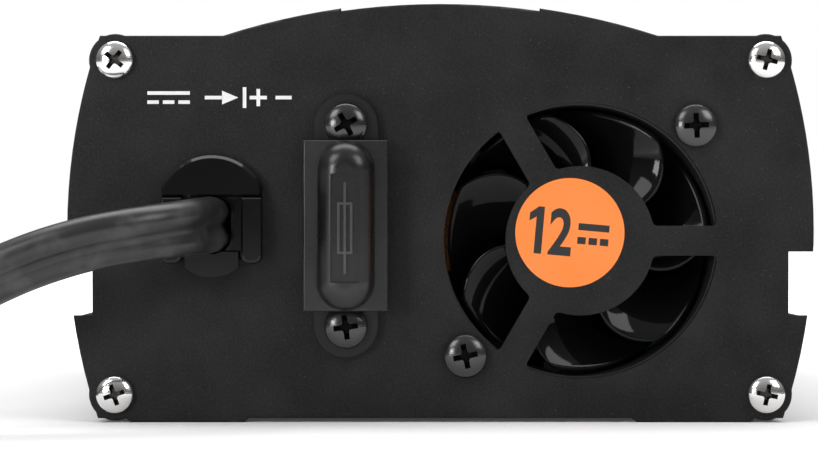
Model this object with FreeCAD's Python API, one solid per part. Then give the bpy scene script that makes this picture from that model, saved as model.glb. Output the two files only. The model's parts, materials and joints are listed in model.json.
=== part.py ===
"""A 12 V power inverter: a finned aluminium tube closed by two black end plates.

The frame has +Z up and its origin on the ground under the middle of the box. The plate with the
fan, the fuse holder and the cable faces -Y, and the plate with the mains sockets faces +Y.
All sizes are millimetres. Each function makes one group of pieces, and every piece is a solid of
its own in a file named after it.
"""
import FreeCAD
import Part
import math
import os

V = FreeCAD.Vector
ALONG_Y = V(0, 1, 0)

# ---- case section ----
half_width = 65.0            # widest point of the bowed sides
side_radius = 103.0          # bow of each side
side_centre_z = 33.5
shoulder_z = 67.3            # flat shoulders beside the dome
dome_radius = 122.7
dome_top_z = 73.28           # top of the dome before the label band is sunk
label_half_width = 17.3
label_depth = 0.45
pad_height = 0.7             # two long pads carry the case
pad_inner_x = 33.4
pad_outer_x = 54.0
channel_depth_x = 60.6       # floor of the mounting channel in each side
channel_low_z = 18.6
channel_high_z = 29.7
boss_x = 56.6                # end plate screws, in screw channels of the tube
boss_low_z = 4.9
boss_high_z = 63.0
boss_radius = 4.6
channel_lug_radius = 3.8     # metal round each screw channel, inside the tube
wall = 2.2
tube_inset = 0.25            # the tube is this much smaller than its plates all round
body_length = 160.0
plate_thickness = 1.6
plate_edge_round = 0.4
plate_screw_hole = 1.75
plate_screw_core = 1.45      # pilot hole in the screw channel
fin_depth = 1.1
fin_gap = 1.7
fin_pitch = 3.4
fit_gap = 0.15               # general clearance between pieces that are put together

# ---- board and its slots ----
board_z = 11.6
board_thickness = 1.6
board_half_width = 58.6
rail_thickness = 1.1
rail_reach = 57.2            # the rails reach in to here

# ---- fan ----
fan_x = 24.3
fan_z = 31.6
fan_size = 50.0
fan_depth = 15.0
fan_hole_pitch = 40.0
fan_bore = 23.7
fan_corner = 3.0
grille_outer = 24.0
grille_hub = 13.0
grille_spoke = 5.2
grille_corner = 0.9
hub_radius = 12.0
hub_wall = 1.2
hub_depth = 11.0
fan_hub_gap = 1.2            # rotor face behind the plate
blade_tip = 22.9
blade_count = 7
shaft_radius = 1.5
shaft_gap = 0.05
sleeve_radius = 2.9
tower_radius = 3.9
fan_screw_radius = 2.0
fan_screw_hole = 2.2
sticker_radius = 9.5
sticker_thickness = 0.15
sticker_x = 22.5
sticker_z = 33.0

# ---- screw heads ----
plate_head = (3.25, 2.1)     # radius and height
fan_head = (3.8, 2.4)
fuse_head = (3.75, 2.4)

# ---- fuse holder ----
fuse_x = -16.4
fuse_z = 34.2
ear_width = 11.0
ear_length = 45.5
ear_thickness = 1.8
fuse_screw_pitch = 35.0
fuse_screw_radius = 1.5
collar = (12.4, 27.0, 2.9)   # width, height and how far it stands on the ears
flange = (14.6, 29.4, 1.3)
bulge = (10.1, 29.2, 4.6)
bulge_round = 4.1
cap_wall = 1.2
window = (4.9, 18.6, 0.75)
holder_body = (12.0, 25.0, 17.0)
fuse_body = (5.1, 19.1, 8.9)
fuse_blade = (0.65, 5.2, 9.5)
fuse_blade_pitch = 13.8
fuse_tab = (0.8, 5.0)        # solder tabs behind the holder
fuse_top = 8.6               # fuse's top in front of the plate
cap_travel = 30.0

# ---- cable gland and cord ----
gland_x = -39.6
gland_z = 36.6
gland_radius = 9.8
gland_half_width = 8.75
gland_step_z = 2.5           # lower edge of the gland's cap, from its centre
gland_arm_x = 5.1
gland_arm_low_z = -8.9
gland_face = 2.6
gland_arm_face = 3.9
wedge_half_width = 4.6
wedge_low_z = -11.3
wedge_high_z = -6.9
gland_throat = 8.1
gland_throat_half_width = 7.3
gland_depth = 11.0
cord_width = 10.0
cord_thickness = 5.6
cord_drop = 2.2              # the cord's centre lies this far under the gland's
cord_z = gland_z - cord_drop
slot_half_width = 3.9

# ---- mains end ----
outlet_x = (-37.0, -3.0)
outlet_z = 36.0
outlet_bezel = (30.0, 36.0, 2.0)
outlet_body = (26.0, 31.0, 21.0)
outlet_slots = ((-6.35, 2.2, 8.6), (6.35, 2.2, 7.2))   # place across, width and height
outlet_slot_z = 4.0
outlet_ground_z = -7.9
outlet_ground_radius = 2.7
outlet_ground_length = 7.0
outlet_socket_depth = 17.0
switch_x = 36.0
switch_z = 38.0
switch_bezel = (16.0, 24.4, 1.8)
switch_body = (13.8, 21.6, 17.0)
switch_opening = (10.8, 20.4)
rocker_half_length = 9.0
rocker_tilt = 10.0
rocker_rise = 6.2            # from its pivot to the tips of its face
rocker_pin = 1.2
rocker_pivot_depth = 1.6
usb_x = 36.0
usb_z = 16.5
usb_shell = (13.1, 5.7, 12.0)
usb_wall = 0.4
led_x = (29.5, 42.5)
led_z = 57.5
led_radius = 2.5

# ---- accessory plug ----
plug_radius = 11.0
plug_shell_radius = 10.2
plug_handle_length = 42.0
plug_shell_length = 36.0
plug_ring_length = 8.0
plug_boot_length = 24.0
tip_radius = 3.2
tip_reach = 7.0
tip_travel = 3.0
side_contact = (5.0, 26.0, 0.9)    # width, length and thickness
side_contact_lift = 1.6
side_contact_travel = 1.4

front_reach = ear_thickness + collar[2] + flange[2] + bulge[2]
rocker_reach = (rocker_rise * math.cos(math.radians(rocker_tilt))
                + rocker_half_length * math.sin(math.radians(rocker_tilt)) - rocker_pivot_depth)
shift_y = (front_reach - rocker_reach) / 2
tube_front = -body_length / 2 + shift_y
tube_back = body_length / 2 + shift_y
plate_face = tube_front - plate_thickness         # outer face of the fan end
socket_face = tube_back + plate_thickness         # outer face of the mains end


# ---- small helpers ----
def block(x0, x1, y0, y1, z0, z1):
    return Part.makeBox(x1 - x0, y1 - y0, z1 - z0, V(x0, y0, z0))


def rod(x, z, radius, y0, y1):
    """A cylinder along Y."""
    return Part.makeCylinder(radius, y1 - y0, V(x, y0, z), ALONG_Y)


def slab(x, z, width, height, y0, y1):
    """A rectangular prism along Y, centred on x and z."""
    return block(x - width / 2, x + width / 2, y0, y1, z - height / 2, z + height / 2)


def obround(x, z, width, height, y0, y1):
    """A prism along Y with half-round ends, taller than it is wide."""
    radius = width / 2
    reach = height / 2 - radius
    ends = [rod(x, z + s * reach, radius, y0, y1) for s in (-1, 1)]
    return slab(x, z, width, 2 * reach, y0, y1).fuse(ends).removeSplitter()


def prism(points, axis, start, end):
    """A closed outline of (a, b) points, extruded along an axis: a, b are the other two in X, Y, Z order."""
    place = {"X": lambda a, b: V(start, a, b), "Y": lambda a, b: V(a, start, b),
             "Z": lambda a, b: V(a, b, start)}[axis]
    along = {"X": V(end - start, 0, 0), "Y": V(0, end - start, 0), "Z": V(0, 0, end - start)}[axis]
    corners = [place(a, b) for a, b in points]
    return Part.Face(Part.makePolygon(corners + corners[:1])).extrude(along)


def spun(points, centre, axis):
    """A solid of revolution: points are (radius, distance along the axis) from centre."""
    corners = [V(r, 0, d) for r, d in points]
    face = Part.Face(Part.makePolygon(corners + corners[:1]))
    shape = face.revolve(V(0, 0, 0), V(0, 0, 1), 360)
    shape = Part.makeSolid(shape.Shells[0]) if shape.ShapeType != "Solid" else shape
    shape.Placement = FreeCAD.Placement(centre, FreeCAD.Rotation(V(0, 0, 1), axis))
    return shape


def edges_along(shape, axis, keep=lambda e: True):
    """The straight edges that run along an axis."""
    found = []
    for edge in shape.Edges:
        if not isinstance(edge.Curve, Part.Line):
            continue
        run = edge.Vertexes[-1].Point - edge.Vertexes[0].Point
        if run.Length > 0.01 and run.cross(axis).Length < 1e-6 * run.Length and keep(edge):
            found.append(edge)
    return found


def edges_at_y(shape, y, keep=lambda e: True):
    """The edges that lie in one plane across Y."""
    return [e for e in shape.Edges
            if e.BoundBox.YLength < 1e-5 and abs(e.BoundBox.YMin - y) < 1e-4 and keep(e)]


# ---- case ----
def side_x(z):
    """Half the width of the case at a height."""
    return half_width - side_radius + math.sqrt(side_radius ** 2 - (z - side_centre_z) ** 2)


def case_core(y0, y1, inset):
    """The case section without its pads and screw lugs, drawn in by inset all round."""
    offset = side_radius - half_width
    lens = rod(offset, side_centre_z, side_radius - inset, y0, y1)
    lens = lens.common(rod(-offset, side_centre_z, side_radius - inset, y0, y1))
    trunk = block(-half_width, half_width, y0, y1, pad_height + inset, shoulder_z - inset)
    dome_centre_z = dome_top_z - dome_radius
    dome = rod(0, dome_centre_z, dome_radius - inset, y0, y1)
    dome = dome.common(block(-half_width, half_width, y0, y1, shoulder_z - 20, dome_top_z))
    band = label_half_width + inset
    sunk = block(-band, band, y0, y1, shoulder_z, dome_top_z + 1)
    sunk = sunk.cut(rod(0, dome_centre_z, dome_radius - inset - label_depth, y0, y1))
    core = lens.common(trunk.fuse(dome.cut(sunk)))
    for side in (-1, 1):
        floor_x = side * (channel_depth_x - inset)
        far_x = side * (half_width + 5)
        core = core.cut(block(min(floor_x, far_x), max(floor_x, far_x), y0, y1,
                              channel_low_z - inset, channel_high_z + inset))
    return core


def screw_centres():
    return [(sx * boss_x, z) for sx in (-1, 1) for z in (boss_low_z, boss_high_z)]


def case_outline(y0, y1, inset):
    """The whole outer section as a prism."""
    shape = case_core(y0, y1, inset)
    lugs = [rod(x, z, boss_radius - inset, y0, y1) for x, z in screw_centres()]
    pads = []
    for side in (-1, 1):
        outline = [(side * pad_inner_x, pad_height + 0.5), (side * pad_inner_x, pad_height),
                   (side * (pad_inner_x + pad_height), 0), (side * pad_outer_x, 0),
                   (side * (pad_outer_x + pad_height), pad_height),
                   (side * (pad_outer_x + pad_height), pad_height + 0.5)]
        pads.append(prism(outline, "Y", y0, y1))
    return shape.fuse(lugs + pads).removeSplitter()


def tube():
    """The finned aluminium tube with its screw channels and board slots."""
    y0, y1 = tube_front, tube_back
    outer = case_outline(y0, y1, tube_inset)
    hollow = case_core(y0, y1, wall)
    lugs = [rod(x, z, channel_lug_radius, y0, y1) for x, z in screw_centres()]
    hollow = hollow.cut(lugs[0].fuse(lugs[1:]))
    shape = outer.cut(hollow)
    rails = []
    for side in (-1, 1):
        for low in (board_z - fit_gap - rail_thickness, board_z + board_thickness + fit_gap):
            near, far = side * rail_reach, side * (side_x(low) - wall / 2)
            rails.append(block(min(near, far), max(near, far), y0, y1, low, low + rail_thickness))
    shape = shape.fuse(rails)
    holes = [rod(x, z, plate_screw_core, y0, y1) for x, z in screw_centres()]
    grooves = []
    for side in (-1, 1):
        for i in range(8):
            low = channel_high_z + 3.4 + fin_pitch * i
            deep = side * (side_x(low + fin_gap / 2) - fin_depth)
            far = side * (half_width + 5)
            grooves.append(block(min(deep, far), max(deep, far), y0, y1, low, low + fin_gap))
        for i in range(3):
            low = channel_low_z - 4.2 - fin_pitch * i
            deep = side * (side_x(low + fin_gap / 2) - fin_depth)
            far = side * (half_width + 5)
            grooves.append(block(min(deep, far), max(deep, far), y0, y1, low, low + fin_gap))
        for i in range(3):
            x = side * (41.6 + fin_pitch * i)
            grooves.append(block(x - fin_gap / 2, x + fin_gap / 2, y0, y1,
                                 shoulder_z - fin_depth, shoulder_z + 3))
    return shape.cut(holes + grooves).removeSplitter()


def grille_opening(y0, y1):
    """Three windows between the grille's hub, rim and spokes."""
    ring = rod(fan_x, fan_z, grille_outer, y0, y1).cut(rod(fan_x, fan_z, grille_hub, y0, y1))
    spokes = []
    for angle in (0, 120, 240):
        spoke = block(0, grille_outer + 5, y0, y1, -grille_spoke / 2, grille_spoke / 2)
        spoke.rotate(V(0, 0, 0), ALONG_Y, -angle)
        spoke.translate(V(fan_x, 0, fan_z))
        spokes.append(spoke)
    windows = []
    for solid in ring.cut(spokes).Solids:
        windows.append(solid.makeFillet(grille_corner, edges_along(solid, ALONG_Y)))
    return windows


def fan_screw_centres():
    half = fan_hole_pitch / 2
    return [(fan_x + half, fan_z + half), (fan_x - half, fan_z - half)]


def fuse_screw_centres():
    return [(fuse_x, fuse_z + s * fuse_screw_pitch / 2) for s in (-1, 1)]


def gland_hole(y0, y1, gap):
    radius = gland_throat + gap
    half = gland_throat_half_width + gap
    shape = rod(gland_x, gland_z - 1.5, radius, y0, y1)
    return shape.common(slab(gland_x, gland_z, 2 * half, 40, y0, y1))


def blank_plate():
    """The fan end's plate before its openings, with a rounded outward edge."""
    plate = case_outline(plate_face, tube_front, 0)
    return plate.makeFillet(plate_edge_round, edges_at_y(plate, plate_face))


def fan_end_plate():
    y0, y1 = plate_face, tube_front
    plate = blank_plate()
    far0, far1 = y0 - 5, y1 + 5
    cuts = grille_opening(far0, far1)
    cuts += [rod(x, z, plate_screw_hole, far0, far1) for x, z in screw_centres()]
    cuts += [rod(x, z, fan_screw_hole, far0, far1) for x, z in fan_screw_centres()]
    cuts += [rod(x, z, fuse_screw_radius + fit_gap, far0, far1) for x, z in fuse_screw_centres()]
    cuts.append(slab(fuse_x, fuse_z, holder_body[0] + 2 * fit_gap, holder_body[1] + 2 * fit_gap, far0, far1))
    cuts.append(gland_hole(far0, far1, fit_gap))
    return plate.cut(cuts)


def mains_end_plate():
    y0, y1 = tube_back, socket_face
    plate = blank_plate().mirror(V(0, shift_y, 0), ALONG_Y)
    far0, far1 = y0 - 5, y1 + 5
    cuts = [rod(x, z, plate_screw_hole, far0, far1) for x, z in screw_centres()]
    for x in outlet_x:
        cuts.append(slab(x, outlet_z, outlet_body[0] + 2 * fit_gap, outlet_body[1] + 2 * fit_gap, far0, far1))
    cuts.append(slab(switch_x, switch_z, switch_body[0] + 2 * fit_gap, switch_body[1] + 2 * fit_gap, far0, far1))
    cuts.append(slab(usb_x, usb_z, usb_shell[0] + 2 * fit_gap, usb_shell[1] + 2 * fit_gap, far0, far1))
    cuts += [rod(x, led_z, led_radius + fit_gap, far0, far1) for x in led_x]
    for i in range(13):
        x = -48.0 + 4.6 * i
        if abs(x) < label_half_width + 32:
            cuts.append(obround(x, 60.6, 2.2, 7.6, far0, far1))
            cuts.append(obround(x, 9.0, 2.2, 8.0, far0, far1))
    return plate.cut(cuts)


# ---- screws ----
def cross_recess(radius, depth):
    """A cross recess at the origin, cut down along -Z from z = 0."""
    arm, half = radius * 0.62, radius * 0.16
    wings = [Part.makeBox(2 * arm, 2 * half, depth * 1.02, V(-arm, -half, -depth * 0.62)),
             Part.makeBox(2 * half, 2 * arm, depth * 1.02, V(-half, -arm, -depth * 0.62))]
    cone = Part.makeCone(0.05, arm * 0.72, depth, V(0, 0, -depth), V(0, 0, 1))
    over = Part.makeCylinder(arm * 0.72, depth, V(0, 0, 0))
    return wings[0].fuse([wings[1], cone, over])


def pan_screw(centre, out, head, shank_radius, shank_length, turn=0.0):
    """A pan head screw: the underside of its head is at centre, and it faces out."""
    radius, height = head
    crown = [V(0, 0, 0), V(radius, 0, 0), V(radius, 0, height * 0.42),
             V(radius * 0.52, 0, height * 0.97), V(0, 0, height)]
    arc = Part.Arc(crown[2], V(radius * 0.88, 0, height * 0.78), crown[3]).toShape()
    cap = Part.Arc(crown[3], V(radius * 0.27, 0, height * 0.995), crown[4]).toShape()
    wire = Part.Wire([Part.makeLine(crown[0], crown[1]), Part.makeLine(crown[1], crown[2]), arc, cap,
                      Part.makeLine(crown[4], crown[0])])
    shape = Part.Face(wire).revolve(V(0, 0, 0), V(0, 0, 1), 360)
    shape = Part.makeSolid(shape.Shells[0]) if shape.ShapeType != "Solid" else shape
    shank = Part.makeCylinder(shank_radius, shank_length, V(0, 0, -shank_length))
    recess = cross_recess(radius, height * 0.75)
    recess.translate(V(0, 0, height))
    shape = shape.fuse(shank).cut(recess)
    shape.rotate(V(0, 0, 0), V(0, 0, 1), turn)
    shape.Placement = FreeCAD.Placement(centre, FreeCAD.Rotation(V(0, 0, 1), out)).multiply(shape.Placement)
    return shape


def nut(centre, axis, hole, across=7.0, height=3.2):
    """A hexagon nut whose near face is at centre."""
    corner = across / math.sqrt(3)
    points = [V(corner * math.cos(math.radians(a)), corner * math.sin(math.radians(a)), 0)
              for a in range(0, 360, 60)]
    shape = Part.Face(Part.makePolygon(points + points[:1])).extrude(V(0, 0, height))
    shape = shape.cut(Part.makeCylinder(hole, height + 2, V(0, 0, -1)))
    shape.Placement = FreeCAD.Placement(centre, FreeCAD.Rotation(V(0, 0, 1), axis))
    return shape


def plate_screws(face_y, out):
    turns = (18, 52, -12, 75)
    return [pan_screw(V(x, face_y, z), V(0, out, 0), plate_head, plate_screw_core - 0.02, 11.0, t)
            for (x, z), t in zip(screw_centres(), turns)]


# ---- fan ----
def fan_frame():
    y0 = tube_front
    y1 = y0 + fan_depth
    half = fan_size / 2
    frame = slab(fan_x, fan_z, fan_size, fan_size, y0, y1)
    frame = frame.makeFillet(fan_corner, edges_along(frame, ALONG_Y))
    frame = frame.cut(rod(fan_x, fan_z, fan_bore, y0 - 1, y1 + 1))
    waist = [y0 + 3.6, y1 - 3.6]
    for sx in (-1, 1):
        for sz in (-1, 1):
            pocket = slab(fan_x + sx * half, fan_z + sz * half, 16, 16, *waist)
            frame = frame.cut(pocket.cut(rod(fan_x, fan_z, half + 0.4, y0, y1)))
    mount = rod(fan_x, fan_z, hub_radius + 0.4, y1 - 1.8, y1)
    struts = []
    for angle in (20, 140, 260):
        strut = block(hub_radius - 1, fan_bore + 0.8, y1 - 1.8, y1, -1.4, 1.4)
        strut.rotate(V(0, 0, 0), ALONG_Y, -angle)
        strut.translate(V(fan_x, 0, fan_z))
        struts.append(strut)
    tower = rod(fan_x, fan_z, tower_radius, y1 - 11.0, y1 - 1)
    frame = frame.fuse([mount, tower] + struts)
    frame = frame.cut(rod(fan_x, fan_z, sleeve_radius, y1 - 12, y1 + 1))
    pitch = fan_hole_pitch / 2
    holes = [rod(fan_x + sx * pitch, fan_z + sz * pitch, fan_screw_hole, y0 - 1, y1 + 1)
             for sx in (-1, 1) for sz in (-1, 1)]
    return frame.cut(holes).removeSplitter()


def fan_blade():
    """One blade, thin and twisted, pointing along +X from the shaft."""
    mid_y = tube_front + fan_hub_gap + hub_depth / 2
    sections = []
    for reach, chord, angle in ((hub_radius - 0.6, 9.6, 52), (17.0, 11.0, 43), (blade_tip, 12.2, 35)):
        half, thin = chord / 2, 0.55
        c, s = math.cos(math.radians(angle)), math.sin(math.radians(angle))
        corners = [(-half, -thin), (half, -thin * 0.5), (half, thin * 0.5), (-half, thin)]
        points = [V(reach, mid_y + a * s + b * c, a * c - b * s) for a, b in corners]
        sections.append(Part.makePolygon(points + points[:1]))
    return Part.makeLoft(sections, True, False)


def fan_impeller():
    y0 = tube_front + fan_hub_gap
    y1 = y0 + hub_depth
    cup = rod(0, 0, hub_radius, y0, y1)
    cup = cup.makeFillet(0.9, edges_at_y(cup, y0))
    cup = cup.cut(rod(0, 0, hub_radius - hub_wall, y0 + hub_wall, y1 + 1))
    blade = fan_blade()
    blades = []
    for i in range(blade_count):
        one = blade.copy()
        one.rotate(V(0, 0, 0), ALONG_Y, 360.0 / blade_count * i)
        blades.append(one)
    ring = rod(0, 0, blade_tip, y0 - 0.2, y1 + 1).cut(rod(0, 0, hub_radius - hub_wall / 2, y0 - 1, y1 + 2))
    boss = rod(0, 0, 3.0, y0 + hub_wall, y0 + hub_wall + 1.2)
    shape = cup.fuse([b.common(ring) for b in blades] + [boss])
    shape = shape.cut(rod(0, 0, shaft_radius, y0 + 0.7, y1))
    shape.translate(V(fan_x, 0, fan_z))
    return shape.removeSplitter()


def fan_inner_parts():
    """Magnet, shaft, bush and stator inside the fan's hub."""
    y0 = tube_front + fan_hub_gap
    y1 = y0 + hub_depth
    back = tube_front + fan_depth
    outer = hub_radius - hub_wall
    magnet = rod(fan_x, fan_z, outer, y0 + 3.0, y1 - 0.3).cut(rod(fan_x, fan_z, outer - 1.6, y0, y1))
    shaft = rod(fan_x, fan_z, shaft_radius, y0 + 0.7, back - 0.6)
    bush = rod(fan_x, fan_z, sleeve_radius, back - 11.0, back - 1.0)
    bush = bush.cut(rod(fan_x, fan_z, shaft_radius + shaft_gap, back - 12, back))
    core = rod(fan_x, fan_z, outer - 2.1, y0 + 4.2, y1 - 1.0).cut(rod(fan_x, fan_z, tower_radius, y0, y1))
    slots = []
    for angle in (45, 135, 225, 315):
        x = fan_x + 7.7 * math.cos(math.radians(angle))
        z = fan_z + 7.7 * math.sin(math.radians(angle))
        slots.append(rod(x, z, 1.7, y0, y1))
    board = rod(fan_x, fan_z, hub_radius - 1.6, back - 3.0, back - 1.8)
    board = board.cut(rod(fan_x, fan_z, tower_radius, back - 4, back))
    return {"fan_magnet_ring": magnet, "fan_shaft": shaft, "fan_sleeve_bearing": bush,
            "fan_stator": core.cut(slots), "fan_driver_board": board}


def fan():
    pieces = {"fan_frame": fan_frame(), "fan_impeller": fan_impeller()}
    pieces.update(fan_inner_parts())
    grip = plate_thickness + fan_depth
    pieces["fan_screws"] = [
        pan_screw(V(x, plate_face, z), V(0, -1, 0), fan_head, fan_screw_radius, grip + 4.2, t)
        for (x, z), t in zip(fan_screw_centres(), (3, 12))]
    pieces["panel_nuts"] = [nut(V(x, tube_front + fan_depth, z), V(0, 1, 0), fan_screw_radius + 0.02)
                            for x, z in fan_screw_centres()]
    pieces["panel_nuts"] += [nut(V(x, tube_front, z), V(0, 1, 0), fuse_screw_radius + 0.02, 5.5, 2.4)
                             for x, z in fuse_screw_centres()]
    pieces["fan_hub_sticker"] = rod(sticker_x, sticker_z, sticker_radius,
                                    plate_face - sticker_thickness, plate_face)
    return pieces


# ---- fuse holder ----
def fuse_holder():
    y = plate_face
    ear = obround(fuse_x, fuse_z, ear_width, ear_length, y - ear_thickness, y)
    front = y - ear_thickness - collar[2]
    rim = slab(fuse_x, fuse_z, collar[0], collar[1], front, y - ear_thickness)
    rear = slab(fuse_x, fuse_z, holder_body[0], holder_body[1], y, y + holder_body[2])
    base = ear.fuse([rim, rear])
    room = 0.3
    pocket = slab(fuse_x, fuse_z, fuse_body[0] + 2 * room, fuse_body[1] + 2 * room,
                  front - 1, y - fuse_top + fuse_body[2] + 0.2)
    base = base.cut(pocket)
    blades_to = y - fuse_top + fuse_body[2] + fuse_blade[2]
    for s in (-1, 1):
        z = fuse_z + s * fuse_blade_pitch / 2
        base = base.cut(slab(fuse_x, z, 4.0, 6.6, y, blades_to + 0.6))
        base = base.cut(slab(fuse_x, z, fuse_tab[0] + 0.2, fuse_tab[1] + 0.2, y, y + holder_body[2] + 1))
    base = base.cut([rod(x, z, fuse_screw_radius + fit_gap, y - 9, y + 1) for x, z in fuse_screw_centres()])
    return base.removeSplitter()


def fuse_contact(z):
    """A folded clip that grips one blade, with a solder tab behind."""
    y = plate_face
    start = y - fuse_top + fuse_body[2] + 0.9
    end = y - fuse_top + fuse_body[2] + fuse_blade[2] + 0.5
    clip = slab(fuse_x, z, 3.8, 6.2, start, end)
    clip = clip.cut(slab(fuse_x, z, fuse_blade[0] + 0.1, 6.4, start - 1, end - 0.4))
    tab = slab(fuse_x, z, fuse_tab[0], fuse_tab[1], end - 0.1, y + holder_body[2] + 7.0)
    return clip.fuse(tab).removeSplitter()


def fuse_cap():
    """The pull-off cover: a square flange and a long rounded bulge with a sunk window."""
    back = plate_face - ear_thickness - collar[2]
    mid = back - flange[2]
    front = mid - bulge[2]
    dome = obround(fuse_x, fuse_z, bulge[0], bulge[1], front, mid + 0.2)
    dome = dome.makeFillet(bulge_round, edges_at_y(dome, front))
    plate = slab(fuse_x, fuse_z, flange[0], flange[1], mid, back)
    plate = plate.makeFillet(0.35, edges_at_y(plate, mid))
    shape = plate.fuse(dome)
    inner = obround(fuse_x, fuse_z, bulge[0] - 2 * cap_wall, bulge[1] - 2 * cap_wall,
                    front + cap_wall + 0.5, back + 1)
    shape = shape.cut(inner)
    shape = shape.cut(slab(fuse_x, fuse_z - 0.4, window[0], window[1], front - 1, front + window[2]))
    return shape.removeSplitter()


def fuse_parts():
    y = plate_face
    top = y - fuse_top
    body = slab(fuse_x, fuse_z, fuse_body[0], fuse_body[1], top, top + fuse_body[2])
    body = body.makeFillet(0.6, edges_along(body, ALONG_Y))
    blades = [slab(fuse_x, fuse_z + s * fuse_blade_pitch / 2, fuse_blade[0], fuse_blade[1],
                   top + fuse_body[2], top + fuse_body[2] + fuse_blade[2]) for s in (-1, 1)]
    contacts = [fuse_contact(fuse_z + s * fuse_blade_pitch / 2) for s in (-1, 1)]
    screws = [pan_screw(V(x, y - ear_thickness, z), V(0, -1, 0), fuse_head, fuse_screw_radius,
                        ear_thickness + plate_thickness + 5.0, t)
              for (x, z), t in zip(fuse_screw_centres(), (10, 35))]
    return {"fuse_holder": fuse_holder(), "fuse_contacts": contacts, "fuse_cap": fuse_cap(),
            "blade_fuse_body": body, "blade_fuse_blades": blades,
            "fuse_holder_screws": screws}


# ---- cable gland ----
def gland_parts():
    y = plate_face
    x, z = gland_x, gland_z
    cap = rod(x, z, gland_radius, y - gland_face, y)
    cap = cap.common(block(x - gland_half_width, x + gland_half_width, y - 9, y,
                           z + gland_step_z, z + 20))
    cap = cap.makeChamfer(0.5, edges_at_y(cap, y - gland_face))
    arms = []
    for side in (-1, 1):
        near, far = side * gland_arm_x, side * gland_half_width
        low, high = z + gland_arm_low_z, z + gland_step_z
        arm = block(x + min(near, far), x + max(near, far), y - gland_arm_face, y, low, high)
        arm = arm.makeFillet(1.3, edges_along(arm, ALONG_Y, lambda e: e.BoundBox.ZMax < low + 0.1))
        arm = arm.makeFillet(0.5, edges_at_y(arm, y - gland_arm_face))
        arms.append(arm)
    throat = gland_hole(y, y + gland_depth, 0)
    barb_y = y + plate_thickness + 0.1
    barbs = gland_hole(barb_y, barb_y + 3.0, 0.9).common(slab(x, z, 40, 9.0, y, y + 20))
    body = cap.fuse(arms + [throat, barbs])
    slot_low = z - cord_drop - cord_width / 2 - fit_gap
    slot_high = z - cord_drop + cord_width / 2 + fit_gap
    body = body.cut(block(x - slot_half_width, x + slot_half_width, y - 9, y + 3.0, slot_low - 0.3,
                          z + gland_step_z))
    cord = obround(x, z - cord_drop, cord_thickness + 2 * fit_gap, cord_width + 2 * fit_gap, y - 9, y + 30)
    body = body.cut(cord)
    half = wedge_half_width + fit_gap
    body = body.cut(block(x - half, x + half, y - 9, y + gland_depth + 1, z - 20, z + wedge_high_z + fit_gap))
    lip = rod(x, z + wedge_low_z + 7.2, 7.2, y - 3.4, y)
    lip = lip.common(block(x - wedge_half_width, x + wedge_half_width, y - 9, y, z - 20, z + wedge_high_z))
    key = gland_hole(y, y + gland_depth - 1.0, 0)
    key = key.common(block(x - wedge_half_width, x + wedge_half_width, y, y + 20, z - 20, z + wedge_high_z))
    wedge = lip.fuse(key)
    wedge = wedge.cut(obround(x, z - cord_drop, cord_thickness + 2 * fit_gap, cord_width + 2 * fit_gap,
                              y - 9, y + 30))
    stub = obround(x, cord_z, cord_thickness, cord_width, y - gland_arm_face, y + gland_depth + 8)
    return {"cable_gland_body": body.removeSplitter(), "cable_gland_wedge": wedge.removeSplitter(),
            "dc_cord_inner_end": stub}


# ---- cord ----
coil_x = gland_x - 112.0
coil_outer = 56.0            # radius of the cord's centre where the coil starts, at the front
coil_step = 6.2              # each turn lies this far inside the one before
coil_turns = 2
coil_inner = coil_outer - coil_step * coil_turns
coil_y = plate_face - 25.0 + coil_outer
coil_lift = 0.7              # the tie passes under the turns
coil_z = coil_lift + cord_width / 2

# The cord's route from the gland to the coil: distance right, in front of the plate, and up.
LEAD_ROUTE = [
    (gland_x, gland_arm_face, cord_z), (gland_x, 10.4, cord_z), (gland_x - 3.0, 17.6, cord_z - 0.3),
    (gland_x - 9.6, 23.0, cord_z - 1.0), (gland_x - 19.0, 25.4, cord_z - 2.5),
    (gland_x - 30.0, 26.0, cord_z - 6.2), (gland_x - 41.0, 26.2, cord_z - 12.0),
    (gland_x - 53.0, 26.4, cord_z - 18.6), (gland_x - 66.5, 26.0, cord_z - 24.4),
    (gland_x - 81.0, 25.2, cord_z - 27.6), (gland_x - 96.5, 25.0, coil_z),
]
# From the end of the inner turn, over the coil's left side, to the plug on the ground beyond:
# distance right and back from the end of the turn, and up.
TAIL_ROUTE = [
    (0.0, 0.0, coil_z), (-8.0, 0.4, coil_z + 1.6), (-17.5, 3.0, coil_z + 7.6),
    (-27.5, 7.4, coil_z + 11.6), (-38.5, 13.2, coil_z + 12.0), (-49.0, 20.6, coil_z + 11.4),
    (-58.0, 30.8, coil_z + 9.0), (-64.4, 42.6, coil_z + 6.6), (-67.0, 56.0, plug_radius),
    (-67.0, 69.0, plug_radius),
]


def run_points():
    """The route's points in the case's frame."""
    return [V(x, plate_face - out, z) for x, out, z in LEAD_ROUTE]


def tail_points():
    return [V(coil_x + dx, coil_y - coil_inner + dy, z) for dx, dy, z in TAIL_ROUTE]


def smooth_path(points, name):
    """Straight runs joined by tangent arcs, each as large as its two runs allow."""
    edges, last, radii = [], points[0], []
    for before, at, after in zip(points, points[1:], points[2:]):
        u, w = (before - at).normalize(), (after - at).normalize()
        turn = math.pi - u.getAngle(w)
        shorter = min((before - at).Length, (after - at).Length)
        radius = 0.45 * shorter / math.tan(turn / 2)
        reach = radius * math.tan(turn / 2)
        start, end = at + u * reach, at + w * reach
        middle = (u + w).normalize()
        centre = at + middle * (radius / math.cos(turn / 2))
        top = centre - middle * radius
        edges += [Part.LineSegment(last, start).toShape(), Part.Arc(start, top, end).toShape()]
        last = end
        radii.append(radius)
    edges.append(Part.LineSegment(last, points[-1]).toShape())
    print(name, "radii", [round(r, 1) for r in radii])
    return Part.Wire(edges)


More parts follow.
